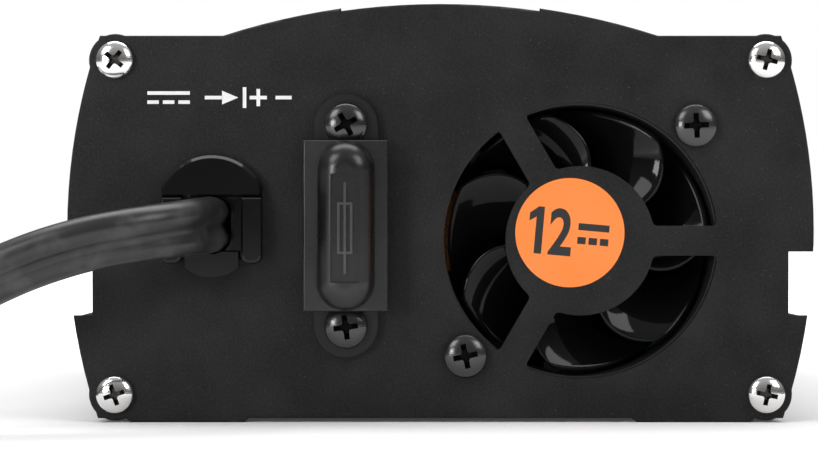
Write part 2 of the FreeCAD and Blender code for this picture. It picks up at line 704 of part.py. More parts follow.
def cord_tube(points, name):
    """A plain round tube of the cord's width along a route."""
    path = smooth_path(points, name)
    start = Part.Wire(Part.makeCircle(cord_width / 2, points[0], points[1] - points[0]))
    tube_shape = path.makePipeShell([start], True, False)
    print(name, "length", round(path.Length, 1), "volume ratio",
          round(tube_shape.Volume / (path.Length * math.pi * cord_width ** 2 / 4), 4))
    return tube_shape


def cord_parts():
    outer = coil_outer + cord_thickness / 2
    inner = coil_inner - cord_thickness / 2
    coil = Part.makeCylinder(outer, cord_width, V(coil_x, coil_y, coil_lift))
    coil = coil.cut(Part.makeCylinder(inner, cord_width + 2, V(coil_x, coil_y, coil_lift - 1)))
    return {"dc_cord_lead": cord_tube(run_points(), "lead"), "dc_cord_coil": coil,
            "dc_cord_tail": cord_tube(tail_points(), "tail"), "dc_cord_tie": cord_tie()}


def cord_tie():
    """A flat strap round the turns at the back of the coil."""
    near = coil_inner - cord_thickness / 2 - 0.3
    far = coil_outer + cord_thickness / 2 + 0.3
    strap, half = 0.6, 2.4
    low, high = coil_lift - strap - 0.1, coil_lift + cord_width + 0.3
    outer = block(coil_x - half, coil_x + half, coil_y + near - strap, coil_y + far + strap, low, high + strap)
    outer = outer.makeFillet(0.5, edges_along(outer, V(1, 0, 0)))
    inner = block(coil_x - half - 1, coil_x + half + 1, coil_y + near, coil_y + far, low + strap, high)
    inner = inner.makeFillet(0.4, edges_along(inner, V(1, 0, 0)))
    head = block(coil_x - 3.4, coil_x + 3.4, coil_y + far + 0.1, coil_y + far + 5.2, 4.0, 8.4)
    return outer.fuse(head).cut(inner).removeSplitter()


# ---- accessory plug, made along +X from its handle's back end and then laid in place ----
def plug_frame():
    start = tail_points()[-1]
    turn = FreeCAD.Rotation(V(0, 0, 1), 90).multiply(FreeCAD.Rotation(V(1, 0, 0), 90))
    return FreeCAD.Placement(start + V(0, plug_boot_length, 0), turn)


def turned(points, x0):
    """A solid of revolution about X: points are (distance along X from x0, radius)."""
    corners = [V(x0 + d, r, 0) for d, r in points]
    shape = Part.Face(Part.makePolygon(corners + corners[:1])).revolve(V(x0, 0, 0), V(1, 0, 0), 360)
    return Part.makeSolid(shape.Shells[0]) if shape.ShapeType != "Solid" else shape


def plug_parts():
    handle_end = plug_handle_length
    shell_end = handle_end + plug_shell_length
    ring_end = shell_end + plug_ring_length
    handle = turned([(0, 0), (0, 8.2), (2.0, 9.6), (10, plug_radius - 0.2), (30, plug_radius - 0.05),
                     (handle_end - 1.5, plug_radius - 0.05), (handle_end, plug_radius - 1.0), (handle_end, 0)], 0)
    shell = turned([(0, 0), (0, plug_shell_radius), (plug_shell_length - 2, plug_shell_radius),
                    (plug_shell_length, 9.0), (plug_shell_length, 0)], handle_end)
    body = handle.fuse(shell)
    bore_radius = 4.1
    fuse_room = Part.makeCylinder(bore_radius, 60.0, V(shell_end - 34.0, 0, 0), V(1, 0, 0))
    width, length, thick = side_contact
    seats = []
    for side in (-1, 1):
        seat = Part.makeBox(length + 2, width + 0.6, 4.0, V(handle_end + 4, -(width + 0.6) / 2, 6.6))
        if side < 0:
            seat.rotate(V(0, 0, 0), V(1, 0, 0), 180)
        seats.append(seat)
    ridges = []
    for i in range(6):
        ridges.append(turned([(0, plug_radius + 1), (0, plug_radius - 0.7), (1.4, plug_radius - 0.7),
                              (1.4, plug_radius + 1)], 11.0 + 3.6 * i))
    body = body.cut([fuse_room] + seats + ridges)
    ring = turned([(0, 0), (0, 9.2), (1.0, 9.2), (plug_ring_length - 1.5, 8.2), (plug_ring_length, 6.4),
                   (plug_ring_length, 0)], shell_end)
    ring = ring.cut(Part.makeCylinder(tip_radius + 0.1, 30, V(shell_end, 0, 0), V(1, 0, 0)))
    ring = ring.cut(Part.makeCylinder(bore_radius, 5.0, V(shell_end - 1, 0, 0), V(1, 0, 0)))
    collar_x = shell_end + 0.8
    tip = turned([(0, 0), (0, bore_radius - 0.2), (3.0, bore_radius - 0.2), (3.0, tip_radius),
                  (ring_end - collar_x + tip_reach - 3.0, tip_radius),
                  (ring_end - collar_x + tip_reach, 0.8), (ring_end - collar_x + tip_reach, 0)], collar_x)
    fuse = Part.makeCylinder(3.15, 26.0, V(shell_end - 34.0 + 3.2, 0, 0), V(1, 0, 0))
    fuse_end = shell_end - 34.0 + 3.2 + 26.0
    spring = Part.makeCylinder(3.3, collar_x - fuse_end, V(fuse_end, 0, 0), V(1, 0, 0))
    spring = spring.cut(Part.makeCylinder(2.7, 30, V(fuse_end - 1, 0, 0), V(1, 0, 0)))
    leaves = [side_leaf(handle_end + 5.0), side_leaf(handle_end + 5.0)]
    leaves[1].rotate(V(0, 0, 0), V(1, 0, 0), 180)
    boot = turned([(-plug_boot_length, 0), (-plug_boot_length, cord_width / 2 + 1.2), (-3.0, 7.4), (0, 8.0), (0, 0)], 0)
    for i in range(4):
        x = -plug_boot_length + 3.6 + 4.4 * i
        groove = turned([(0, 12), (0, 5.6), (1.5, 5.6), (1.5, 12)], x)
        boot = boot.cut(groove)
    rest = Part.makeCylinder(3.15, 3.0, V(shell_end - 34.0 + 0.1, 0, 0), V(1, 0, 0))
    made = {"plug_body": body, "plug_nose_ring": ring, "plug_tip_contact": tip, "plug_cartridge_fuse": fuse,
            "plug_boot": boot, "plug_fixed_contacts": Part.makeCompound(leaves + [rest]),
            "plug_spring": spring}
    placed = {}
    for name, shape in made.items():
        shape = shape.copy()
        shape.Placement = plug_frame().multiply(shape.Placement)
        placed[name] = shape
    return placed


def side_leaf(x0):
    """One bowed side contact: flat feet in its seat and a raised middle."""
    width, length, thick = side_contact
    base, top = 7.6, plug_shell_radius + side_contact_lift - thick
    points = [(0, base), (5.0, base), (10.0, top), (length - 9.0, top), (length - 4.0, base), (length, base)]
    lower = [V(x0 + a, 0, b) for a, b in points]
    upper = [V(x0 + a, 0, b + thick) for a, b in reversed(points)]
    face = Part.Face(Part.makePolygon(lower + upper + lower[:1]))
    leaf = face.extrude(V(0, width, 0))
    leaf.translate(V(0, -width / 2, 0))
    return leaf


# ---- mains end ----
def outlet(x):
    y = socket_face
    face = slab(x, outlet_z, outlet_bezel[0], outlet_bezel[1], y, y + outlet_bezel[2])
    face = face.makeFillet(3.0, edges_along(face, ALONG_Y))
    face = face.makeFillet(0.8, edges_at_y(face, y + outlet_bezel[2]))
    body = slab(x, outlet_z, outlet_body[0], outlet_body[1], y - outlet_body[2], y)
    shape = face.fuse(body)
    front = y + outlet_bezel[2]
    for dx, width, height in outlet_slots:
        shape = shape.cut(slab(x + dx, outlet_z + outlet_slot_z, width, height, front - 6.0, front + 1))
        shape = shape.cut(slab(x + dx, outlet_z + outlet_slot_z, 5.0, 9.6, front - outlet_socket_depth, front - 5.9))
    ground_z = outlet_z + outlet_ground_z
    shape = shape.cut(rod(x, ground_z, outlet_ground_radius, front - outlet_ground_length, front + 1))
    shape = shape.cut(rod(x, ground_z, outlet_ground_radius + 1.2, front - outlet_socket_depth,
                          front - outlet_ground_length))
    return shape


def outlet_contacts(x):
    front = socket_face + outlet_bezel[2]
    start, end = front - outlet_socket_depth, front - 7.0
    made = []
    for dx, _, _ in outlet_slots:
        clip = slab(x + dx, outlet_z + outlet_slot_z, 4.9, 9.4, start, end)
        clip = clip.cut(slab(x + dx, outlet_z + outlet_slot_z, 2.3, 11, start + 0.8, end + 1))
        made.append(clip)
    ground_z = outlet_z + outlet_ground_z
    sleeve = rod(x, ground_z, outlet_ground_radius + 1.15, start, end - 0.5)
    made.append(sleeve.cut(rod(x, ground_z, outlet_ground_radius + 0.1, start + 0.8, end)))
    return made


def power_switch():
    y = socket_face
    bezel = slab(switch_x, switch_z, switch_bezel[0], switch_bezel[1], y, y + switch_bezel[2])
    bezel = bezel.makeFillet(1.6, edges_along(bezel, ALONG_Y))
    bezel = bezel.makeFillet(0.6, edges_at_y(bezel, y + switch_bezel[2]))
    body = slab(switch_x, switch_z, switch_body[0], switch_body[1], y - switch_body[2], y)
    shape = bezel.fuse(body)
    shape = shape.cut(slab(switch_x, switch_z, switch_opening[0], switch_opening[1], y - 10.0, y + 9))
    pivot_y = y - rocker_pivot_depth
    pins = Part.makeCylinder(rocker_pin + 0.06, switch_opening[0] + 1.6,
                             V(switch_x - switch_opening[0] / 2 - 0.8, pivot_y, switch_z), V(1, 0, 0))
    shape = shape.cut(pins)
    tabs = [slab(switch_x, switch_z + s * 5.0, 0.8, 4.8, y - switch_body[2] - 7.0, y - switch_body[2])
            for s in (-1, 1)]
    half = rocker_half_length
    width = switch_opening[0] - 0.6
    rise = rocker_rise
    profile = [(rise, -half), (rise - 1.8, -0.5), (rise - 1.8, 0.5), (rise, half), (-0.8, half * 0.92),
               (-4.6, 2.6), (-4.6, -2.6), (-0.8, -half * 0.92)]
    rocker = prism([(pivot_y + a, switch_z + b) for a, b in profile], "X",
                   switch_x - width / 2, switch_x + width / 2)
    rocker = rocker.makeFillet(0.7, [e for e in edges_along(rocker, V(1, 0, 0))
                                     if e.BoundBox.YMin > pivot_y + 5.0])
    axle = Part.makeCylinder(rocker_pin, switch_opening[0] + 1.2,
                             V(switch_x - switch_opening[0] / 2 - 0.6, pivot_y, switch_z), V(1, 0, 0))
    rocker = rocker.fuse(axle)
    rocker.rotate(V(switch_x, pivot_y, switch_z), V(1, 0, 0), rocker_tilt)
    return {"power_switch_housing": shape, "power_switch_terminals": tabs, "power_switch_rocker": rocker}


def usb_port():
    y = socket_face
    width, height, depth = usb_shell
    shell = slab(usb_x, usb_z, width, height, y - depth, y + 0.6)
    shell = shell.cut(slab(usb_x, usb_z, width - 2 * usb_wall, height - 2 * usb_wall, y - depth - 1.0, y + 2))
    tongue = slab(usb_x, usb_z + 1.0, 11.1, 1.9, y - depth + 1.0, y - 0.6)
    foot = slab(usb_x, usb_z, width, height - 1.0, y - depth - 3.0, y - depth)
    foot = foot.fuse(slab(usb_x, usb_z + 1.0, 11.1, 1.9, y - depth, y - depth + 1.0))
    board = slab(usb_x, usb_z - height / 2 - 0.9, 16.0, 1.6, y - depth - 8.0, y - 2.0)
    return {"usb_shell": shell, "usb_tongue": tongue.fuse(foot), "usb_board": board}


def led(x):
    y = socket_face
    barrel = rod(x, led_z, led_radius, y - 5.0, y + 0.6)
    dome = Part.makeSphere(led_radius, V(x, y + 0.6, led_z)).common(
        slab(x, led_z, 8, 8, y + 0.5, y + 5))
    skirt = rod(x, led_z, led_radius + 0.5, y - 5.0, y - plate_thickness - 0.05)
    return barrel.fuse([dome, skirt]).removeSplitter()


# ---- inside ----
board_front = tube_front + fan_depth + 6.0
board_back = tube_back - 26.0
board_top = board_z + board_thickness


def circuit_parts():
    board = block(-board_half_width, board_half_width, board_front, board_back, board_z, board_top)
    mid = (board_front + board_back) / 2
    pieces = {"circuit_board": board}
    core = block(-24.0, 12.0, mid - 18.0, mid + 18.0, board_top + 6.0, board_top + 34.0)
    windows = [block(-24.0 + 6.0, -24.0 + 12.0, mid - 19, mid + 19, board_top + 12, board_top + 28),
               block(12.0 - 12.0, 12.0 - 6.0, mid - 19, mid + 19, board_top + 12, board_top + 28)]
    pieces["transformer_core"] = core.cut(windows)
    wound = block(-17.8, 5.8, mid - 23.0, mid + 23.0, board_top + 12.2, board_top + 27.8)
    wound = wound.makeFillet(3.0, edges_along(wound, V(0, 0, 1)))
    wound = wound.cut(block(-12.1, 0.1, mid - 18.05, mid + 18.05, board_top, board_top + 40))
    pieces["transformer_winding"] = wound
    feet = [block(-22.0, 10.0, y0, y0 + 5.0, board_top, board_top + 6.0) for y0 in (mid - 17.0, mid + 12.0)]
    pieces["transformer_feet"] = feet
    cans = []
    for i in range(3):
        cans.append(capacitor(-41.0, board_front + 27.0 + 14.5 * i, 6.4, 22.0))
    pieces["input_capacitors"] = cans
    pieces["bulk_capacitor"] = capacitor(32.0, board_back - 16.0, 9.5, 30.0)
    pieces.update(transistor_parts())
    pieces["output_choke"] = choke(-34.0, board_back - 16.0)
    helper = block(18.0, 19.6, mid - 22.0, mid + 14.0, board_top, board_top + 24.0)
    chips = [block(19.6, 23.0, mid - 18.0 + 16 * i, mid - 8.0 + 16 * i, board_top + 8.0, board_top + 14.5)
             for i in range(2)]
    pieces["control_board"] = [helper.fuse(chips).removeSplitter()]
    pieces["alarm_buzzer"] = Part.makeCylinder(6.0, 9.0, V(6.0, board_back - 12.0, board_top))
    pieces.update(inner_leads())
    return pieces


def capacitor(x, y, radius, height):
    can = Part.makeCylinder(radius, height, V(x, y, board_top))
    can = can.makeFillet(0.9, [e for e in can.Edges if abs(e.BoundBox.ZMin - board_top - height) < 1e-3
                               and e.BoundBox.ZLength < 1e-3])
    groove = Part.makeTorus(radius + 0.35, 0.9, V(x, y, board_top + 3.0))
    return can.cut(groove)


def choke(x, y):
    """A toroid with a thick winding, standing on the board."""
    ring = Part.makeCylinder(11.0, 12.0, V(x - 6.0, y, board_top + 11.0), V(1, 0, 0))
    ring = ring.cut(Part.makeCylinder(5.0, 14.0, V(x - 7.0, y, board_top + 11.0), V(1, 0, 0)))
    return ring


def transistor_parts():
    """A row of power transistors on each side, pressed against a bar on the tube's wall."""
    bars, devices, clips, screws = [], [], [], []
    wall_x = channel_depth_x - wall
    for side in (-1, 1):
        inner = side * (wall_x - 4.0)
        outer = side * (wall_x - 0.02)
        bars.append(block(min(inner, outer), max(inner, outer), board_front + 6.0, board_back - 8.0,
                          board_top + 2.5, channel_high_z + wall - 1.5))
        for i in range(4):
            y = board_front + 22.0 + 18.0 * i
            near = inner - side * 4.6
            device = block(min(near, inner), max(near, inner), y - 5.0, y + 5.0, board_top + 4.0, board_top + 17.0)
            legs = [block(min(near, near + side * 1.4), max(near, near + side * 1.4), y + dy - 0.6, y + dy + 0.6,
                          board_top, board_top + 4.0) for dy in (-2.54, 0, 2.54)]
            devices.append(device.fuse(legs).removeSplitter())
            head = inner - side * 4.6
            screws.append(Part.makeCylinder(2.6, 1.8, V(head, y, board_top + 13.5), V(-side, 0, 0)))
    return {"heat_bars": bars, "power_transistors": devices, "transistor_screws": screws}


def inner_leads():
    """The two conductors from the cord's end down to the board."""
    leads = {}
    y0 = plate_face + gland_depth + 8
    for name, dz, x in (("positive_lead", 2.4, gland_x + 6.0), ("negative_lead", -2.4, gland_x - 2.0)):
        points = [V(gland_x, y0, cord_z + dz), V(gland_x, y0 + 7.0, cord_z + dz),
                  V(x, y0 + 13.0, cord_z + dz - 6.0), V(x, y0 + 15.0, board_top + 3.0),
                  V(x, y0 + 15.0, board_top + 0.02)]
        path = smooth_path(points, name)
        start = Part.Wire(Part.makeCircle(2.1, points[0], points[1] - points[0]))
        leads[name] = path.makePipeShell([start], True, False)
    return leads


def mains_parts():
    y = socket_face
    pieces = {"outlet_outer": outlet(outlet_x[0]), "outlet_inner": outlet(outlet_x[1])}
    pieces["outlet_contacts"] = outlet_contacts(outlet_x[0]) + outlet_contacts(outlet_x[1])
    pieces.update(power_switch())
    pieces.update(usb_port())
    pieces["status_led_green"] = led(led_x[0])
    pieces["status_led_red"] = led(led_x[1])
    holder = block(led_x[0] - 4.0, led_x[1] + 4.0, y - 6.6, y - 5.0, led_z - 4.0, led_z + 4.0)
    pieces["led_board"] = holder
    return pieces


def all_pieces():
    pieces = {"body_tube": tube(), "dc_end_plate": fan_end_plate(), "ac_end_plate": mains_end_plate(),
              "end_plate_screws": plate_screws(plate_face, -1) + plate_screws(socket_face, 1)}
    pieces.update(fan())
    pieces.update(fuse_parts())
    pieces.update(gland_parts())
    pieces.update(cord_parts())
    pieces.update(plug_parts())
    pieces.update(mains_parts())
    pieces.update(circuit_parts())
    return pieces


def main():
    os.makedirs("parts", exist_ok=True)
    pieces = all_pieces()
    for name, shape in sorted(pieces.items()):
        solids = shape if isinstance(shape, list) else [shape]
        whole = Part.makeCompound([solid for part in solids for solid in part.Solids])
        broken = [s for s in whole.Solids if not s.isValid() or s.Volume <= 0]
        if broken or not whole.Solids:
            print("CHECK", name, "has", len(broken), "invalid solids of", len(whole.Solids))
        whole.exportStep("parts/" + name + ".step")
    print(len(pieces), "nodes")


main()
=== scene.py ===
import json
from math import copysign, cos, pi, radians, sin, sqrt

import bmesh
import bpy
from bpy.props import FloatProperty, FloatVectorProperty, IntProperty, PointerProperty
from bpy.types import Operator, Panel, PropertyGroup
from mathutils import Matrix, Vector


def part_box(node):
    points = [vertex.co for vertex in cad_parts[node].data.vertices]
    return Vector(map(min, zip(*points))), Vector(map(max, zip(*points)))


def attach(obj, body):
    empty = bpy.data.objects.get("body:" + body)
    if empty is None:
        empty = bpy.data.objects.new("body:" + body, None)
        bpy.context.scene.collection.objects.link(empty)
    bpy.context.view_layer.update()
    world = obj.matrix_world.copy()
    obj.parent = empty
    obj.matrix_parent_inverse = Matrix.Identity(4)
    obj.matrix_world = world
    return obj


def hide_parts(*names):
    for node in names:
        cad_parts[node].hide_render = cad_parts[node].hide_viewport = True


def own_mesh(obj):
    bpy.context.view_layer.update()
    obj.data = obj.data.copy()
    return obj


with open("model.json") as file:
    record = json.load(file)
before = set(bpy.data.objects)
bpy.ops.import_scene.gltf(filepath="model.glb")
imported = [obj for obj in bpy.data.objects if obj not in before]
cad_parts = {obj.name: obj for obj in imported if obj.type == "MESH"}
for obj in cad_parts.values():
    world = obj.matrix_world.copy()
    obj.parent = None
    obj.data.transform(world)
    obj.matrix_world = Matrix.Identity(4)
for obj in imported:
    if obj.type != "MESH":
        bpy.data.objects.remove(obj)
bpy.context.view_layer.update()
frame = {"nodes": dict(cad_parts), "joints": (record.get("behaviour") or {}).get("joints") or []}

bl_info = {
    "name": "Power inverter",
    "version": (1, 0, 0),
    "blender": (4, 5, 0),
    "location": "3D View > Sidebar > Inverter",
    "description": "Finishes, cord, markings and studio for a 12 V power inverter",
    "category": "Add Mesh",
}

NODES = frame["nodes"]
JOINTS = {joint["name"]: joint for joint in frame["joints"]}
MM = 0.001
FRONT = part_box("dc_end_plate")[0].y
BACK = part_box("ac_end_plate")[1].y
FAN_CENTRE = Vector(JOINTS["fan_spin"]["pos_m"])
STICKER_LOW, STICKER_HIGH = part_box("fan_hub_sticker")
CAP_LOW, CAP_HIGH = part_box("fuse_cap")
RING_LOW, RING_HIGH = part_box("plug_nose_ring")
ROTOR_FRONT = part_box("fan_impeller")[0].y


# ---- settings
def size(name, text, default, low=0.0, high=2.0):
    return FloatProperty(name=name, description=text, default=default, min=low, max=high, unit="LENGTH",
                         precision=5)


def share(name, text, default):
    return FloatProperty(name=name, description=text, default=default, min=0.0, max=1.0, subtype="FACTOR")


def angle(name, text, degrees):
    return FloatProperty(name=name, description=text, default=radians(degrees), subtype="ANGLE",
                         unit="ROTATION")


def power(name, text, default):
    return FloatProperty(name=name, description=text, default=default, min=0.0, unit="POWER")


def count(name, text, default, high=200):
    return IntProperty(name=name, description=text, default=default, min=1, max=high)


def colour(name, text, default):
    return FloatVectorProperty(name=name, description=text, default=default, size=3, min=0.0, max=1.0,
                               subtype="COLOR")


class StageSettings(PropertyGroup):
    """Camera, lamps and floor."""
    lens: size("Lens", "Focal length of the camera", 0.110)
    span: size("Span", "Width that the picture shows at the fan end's face", 0.1423)
    eye_x: size("Eye across", "The camera's place across the case", -0.00548, -1.0)
    eye_z: size("Eye height", "The camera's height above the ground", 0.0339)
    key_power: power("Key power", "Power of the large upper lamp", 6.0)
    fill_power: power("Fill power", "Power of each front lamp", 1.5)
    low_power: power("Low power", "Power of the small lamp beside the cord", 0.55)
    horizon_level: share("Horizon level", "How strongly the room around lights the object", 0.08)
    zenith_level: share("Zenith level", "How strongly the ceiling lights the object", 0.50)
    floor_glow: share("Floor glow", "How much of the white near the object doesn't take its shadow", 0.05)


class CordSettings(PropertyGroup):
    """The flat twin cord."""
    width: size("Width", "The cord's wide side", 0.0097)
    thickness: size("Thickness", "The cord's narrow side", 0.0055)
    groove: size("Groove", "Depth of the groove between the two cores", 0.0011)
    twist: angle("Twist", "How far the flat cord leans before its coil", 30.0)
    turns: count("Turns", "Turns of the put-away coil", 2)
    turn_points: count("Points a turn", "Route points in one turn of the coil", 16)
    strap: size("Strap", "Width of the tie's strap", 0.0048)
    jacket: colour("Jacket", "Colour of the cord's jacket", (0.0145, 0.0145, 0.0152))


class CaseSettings(PropertyGroup):
    """Case, end plates and screws."""
    plate: colour("Plate coat", "Powder coat of the end plates", (0.0046, 0.0046, 0.0049))
    tube: colour("Tube coat", "Anodised case", (0.014, 0.014, 0.015))
    nickel: colour("Nickel", "Bright plated screws", (0.80, 0.79, 0.78))
    oxide: colour("Black oxide", "Fan and fuse screws", (0.010, 0.010, 0.010))
    coat_grain: size("Coat grain", "Size of the grain in the powder coat", 0.00042)


class FanSettings(PropertyGroup):
    """Fan and its label."""
    blades: count("Blades", "Number of blades", 7, 15)
    hub: size("Hub", "Radius of the rotor's hub", 0.0120)
    tip: size("Tip", "Radius of the blade tips", 0.0229)
    depth: size("Depth", "Depth of the rotor", 0.0110)
    blade_thickness: size("Blade thickness", "Thickness of one blade", 0.0010)
    plastic: colour("Plastic", "Glossy rotor plastic", (0.0045, 0.0045, 0.005))
    label: colour("Label", "Orange of the hub label", (0.97, 0.245, 0.050))
    label_turn: angle("Label turn", "Tilt of the label's print", -5.0)


class PrintSettings(PropertyGroup):
    """Printed and raised symbols."""
    ink: colour("Ink", "White ink on the plate", (0.80, 0.80, 0.80))
    label_ink: colour("Label ink", "Dark ink on the label", (0.012, 0.012, 0.012))
    height: size("Height", "Height of the symbols beside the gland", 0.0036)
    left: size("Left edge", "Where the row of symbols begins", -0.0510, -1.0)
    right: size("Right edge", "Where the row of symbols ends", -0.0265, -1.0)
    base: size("Base line", "Height of the symbols' lower edge", 0.0547)


class FuseSettings(PropertyGroup):
    """Fuse holder and cable gland."""
    cap: colour("Cap", "Satin plastic of the pull-off cap", (0.0050, 0.0050, 0.0053))
    holder: colour("Holder", "Plastic of the holder", (0.0050, 0.0050, 0.0054))
    nylon: colour("Nylon", "Glossy nylon of the cable gland", (0.0045, 0.0045, 0.0048))
    fuse: colour("Fuse", "Clear orange of the blade fuse", (0.85, 0.24, 0.03))


class MainsSettings(PropertyGroup):
    """Sockets, switch, port and lamps."""
    socket: colour("Socket", "Plastic of the mains sockets", (0.020, 0.020, 0.021))
    rocker: colour("Rocker", "Plastic of the rocker", (0.50, 0.012, 0.010))
    lamp_on: colour("Power lamp", "Green lens", (0.05, 0.55, 0.12))
    lamp_fault: colour("Fault lamp", "Red lens", (0.62, 0.02, 0.015))


class PlugSettings(PropertyGroup):
    """Accessory plug."""
    ribs: count("Ribs", "Ribs round the nose ring", 28)
    rib_width: size("Rib width", "Width of one rib", 0.0010)
    shell: colour("Shell", "Plastic of the plug", (0.016, 0.016, 0.017))


class CircuitSettings(PropertyGroup):
    """What is inside the case."""
    mask: colour("Solder mask", "Green of the circuit boards", (0.012, 0.115, 0.040))
    copper: colour("Copper", "Enamelled winding wire", (0.55, 0.20, 0.07))


GROUPS = {
    "stage": StageSettings, "cord": CordSettings, "case": CaseSettings, "fan": FanSettings,
    "marks": PrintSettings, "fuse": FuseSettings, "mains": MainsSettings, "plug": PlugSettings,
    "circuit": CircuitSettings,
}


class InverterSettings(PropertyGroup):
    """All settings of the inverter, one group for each operator."""
    __annotations__ = {name: PointerProperty(type=group) for name, group in GROUPS.items()}


# ---- node helpers
NODE_STEP = 180                        # distance between nodes in the editor
WHITE = (1, 1, 1, 1)
ORIGIN = (0.0, 0.0, 0.0)
EFFECT_OUTPUTS = {"Colour": "NodeSocketColor", "Roughness": "NodeSocketFloat", "Height": "NodeSocketFloat"}


class Tree:
    """Short ways to add and join nodes in one node tree."""

    def __init__(self, tree):
        self.tree = tree
        self.across = 0

    def fill(self, node, inputs):
        """Sets or links a node's inputs by name or number."""
        for key, value in inputs.items():
            socket = node.inputs[key]
            if isinstance(value, bpy.types.NodeSocket):
                self.tree.links.new(value, socket)
            else:
                socket.default_value = value

    def add(self, kind, inputs=None, **settings):
        """A new node, with its settings and its inputs; a short kind is a shader node."""
        node = self.tree.nodes.new(kind if "Node" in kind else "ShaderNode" + kind)
        node.location = (self.across, 0)
        self.across += NODE_STEP
        for key, value in settings.items():
            setattr(node, key, value)
        self.fill(node, inputs or {})
        return node

    def take(self, kind, inputs=None, output=0, **settings):
        """One output of a new node."""
        return self.add(kind, inputs, **settings).outputs[output]

    def place(self):
        return self.take("TexCoord", output="Object")

    def maths(self, operation, a, b=0.0, clamp=False):
        return self.take("Math", {0: a, 1: b}, operation=operation, use_clamp=clamp)

    def times(self, a, b):
        return self.maths("MULTIPLY", a, b)

    def ramp(self, value, low, high, to_low=0.0, to_high=1.0):
        return self.take("MapRange", {
            "Value": value, "From Min": low, "From Max": high, "To Min": to_low, "To Max": to_high}, clamp=True)

    def noise(self, vector, scale, detail=2.0, roughness=0.5):
        return self.take("TexNoise", {
            "Vector": vector, "Scale": scale, "Detail": detail, "Roughness": roughness}, "Fac")

    def mix(self, share_of_b, a, b):
        """Two colours mixed; 6, 7 and 2 are the node's colour sockets."""
        return self.take("Mix", {"Factor": share_of_b, 6: a, 7: b}, 2, data_type="RGBA")


def fresh_tree(owner):
    """The helper for the emptied node tree of a material or a world."""
    owner.use_nodes = True
    owner.node_tree.nodes.clear()
    return Tree(owner.node_tree)


def socket_type(value):
    """The kind of socket that a default value needs; a text names its kind itself."""
    if isinstance(value, str):
        return value
    if isinstance(value, tuple):
        return "NodeSocketColor" if len(value) == 4 else "NodeSocketVector"
    return "NodeSocketInt" if isinstance(value, int) else "NodeSocketFloat"


def new_group(name, inputs, outputs=EFFECT_OUTPUTS, kind="ShaderNodeTree"):
    """An empty node group: its helper, the sockets that it is given and its output node."""
    tree = bpy.data.node_groups.new(name, kind)
    for label, value in inputs.items():
        made = tree.interface.new_socket(label, in_out="INPUT", socket_type=socket_type(value))
        if not isinstance(value, str):
            made.default_value = value
    for label, socket in outputs.items():
        tree.interface.new_socket(label, in_out="OUTPUT", socket_type=socket)
    t = Tree(tree)
    return t, t.add("NodeGroupInput").outputs, t.add("NodeGroupOutput")


def give_out(t, given, out, tone, uneven, height):
    """Ends an effect group with its colour, its roughness made uneven and its height."""
    t.fill(out, {"Colour": tone, "Roughness": t.maths("ADD", given["Roughness"], uneven, True),
                 "Height": height})
    return t.tree


def moulded_group(name):
    """Moulded or painted plastic: fine grain, slow clouds in tone and gloss, and a film of dust."""
    t, given, out = new_group(name, {
        "Colour": (0.02, 0.02, 0.02, 1), "Dust": (0.30, 0.30, 0.30, 1), "Dust Share": 0.02,
        "Roughness": 0.4, "Spread": 0.06, "Grain Scale": 2500.0, "Cloud Scale": 60.0})
    place = t.place()
    cloud = t.noise(place, given["Cloud Scale"], 3.0, 0.6)
    film = t.times(t.ramp(cloud, 0.45, 0.75), given["Dust Share"])
    uneven = t.times(t.times(t.maths("SUBTRACT", cloud, 0.5), given["Spread"]), 2.0)
    return give_out(t, given, out, t.mix(film, given["Colour"], given["Dust"]), uneven,
                    t.noise(place, given["Grain Scale"]))


def powder_group(name):
    """Powder coat: orange peel with small pale specks where a grain stands proud."""
    t, given, out = new_group(name, {
        "Colour": (0.02, 0.02, 0.02, 1), "Speck": (0.13, 0.13, 0.135, 1), "Speck Share": 0.35,
        "Grain Share": 0.07, "Roughness": 0.5, "Grain Scale": 2400.0})
    place = t.place()
    peel = t.noise(place, given["Grain Scale"], 3.0, 0.65)
    patch = t.noise(place, 95.0)
    grains = t.take("TexVoronoi", {
        "Vector": place, "Scale": t.times(given["Grain Scale"], 0.55)}, "Distance", feature="F1")
    chosen = t.maths("GREATER_THAN", t.noise(place, 900.0, 1.0), 0.60)
    dots = t.times(t.times(t.ramp(grains, 0.16, 0.05), chosen), given["Speck Share"])
    grainy = t.times(t.ramp(peel, 0.42, 0.68), given["Grain Share"])
    tone = given["Colour"]
    for film in (t.ramp(patch, 0.35, 0.7, 0.0, 0.06), grainy, dots):
        tone = t.mix(film, tone, given["Speck"])
    return give_out(t, given, out, tone, t.ramp(patch, 0.3, 0.7, -0.03, 0.03),
                    t.maths("ADD", peel, t.times(dots, 0.8)))


def drawn_group(name):
    """Drawn or turned metal: fine lines along one axis, with a few deeper scratches."""
    t, given, out = new_group(name, {
        "Colour": (0.5, 0.5, 0.5, 1), "Dull": (0.3, 0.3, 0.3, 1), "Dull Share": 0.2, "Roughness": 0.3,
        "Spread": 0.1, "Stretch": (1.0, 0.02, 1.0), "Line Scale": 3000.0})
    place = t.place()
    stretched = t.take("VectorMath", {0: place, 1: given["Stretch"]}, operation="MULTIPLY")
    lines = t.noise(stretched, given["Line Scale"])
    dull = t.times(t.ramp(t.noise(place, 140.0, 3.0, 0.6), 0.4, 0.8), given["Dull Share"])
    uneven = t.times(t.maths("SUBTRACT", lines, 0.5), given["Spread"])
    return give_out(t, given, out, t.mix(dull, given["Colour"], given["Dull"]), uneven, lines)


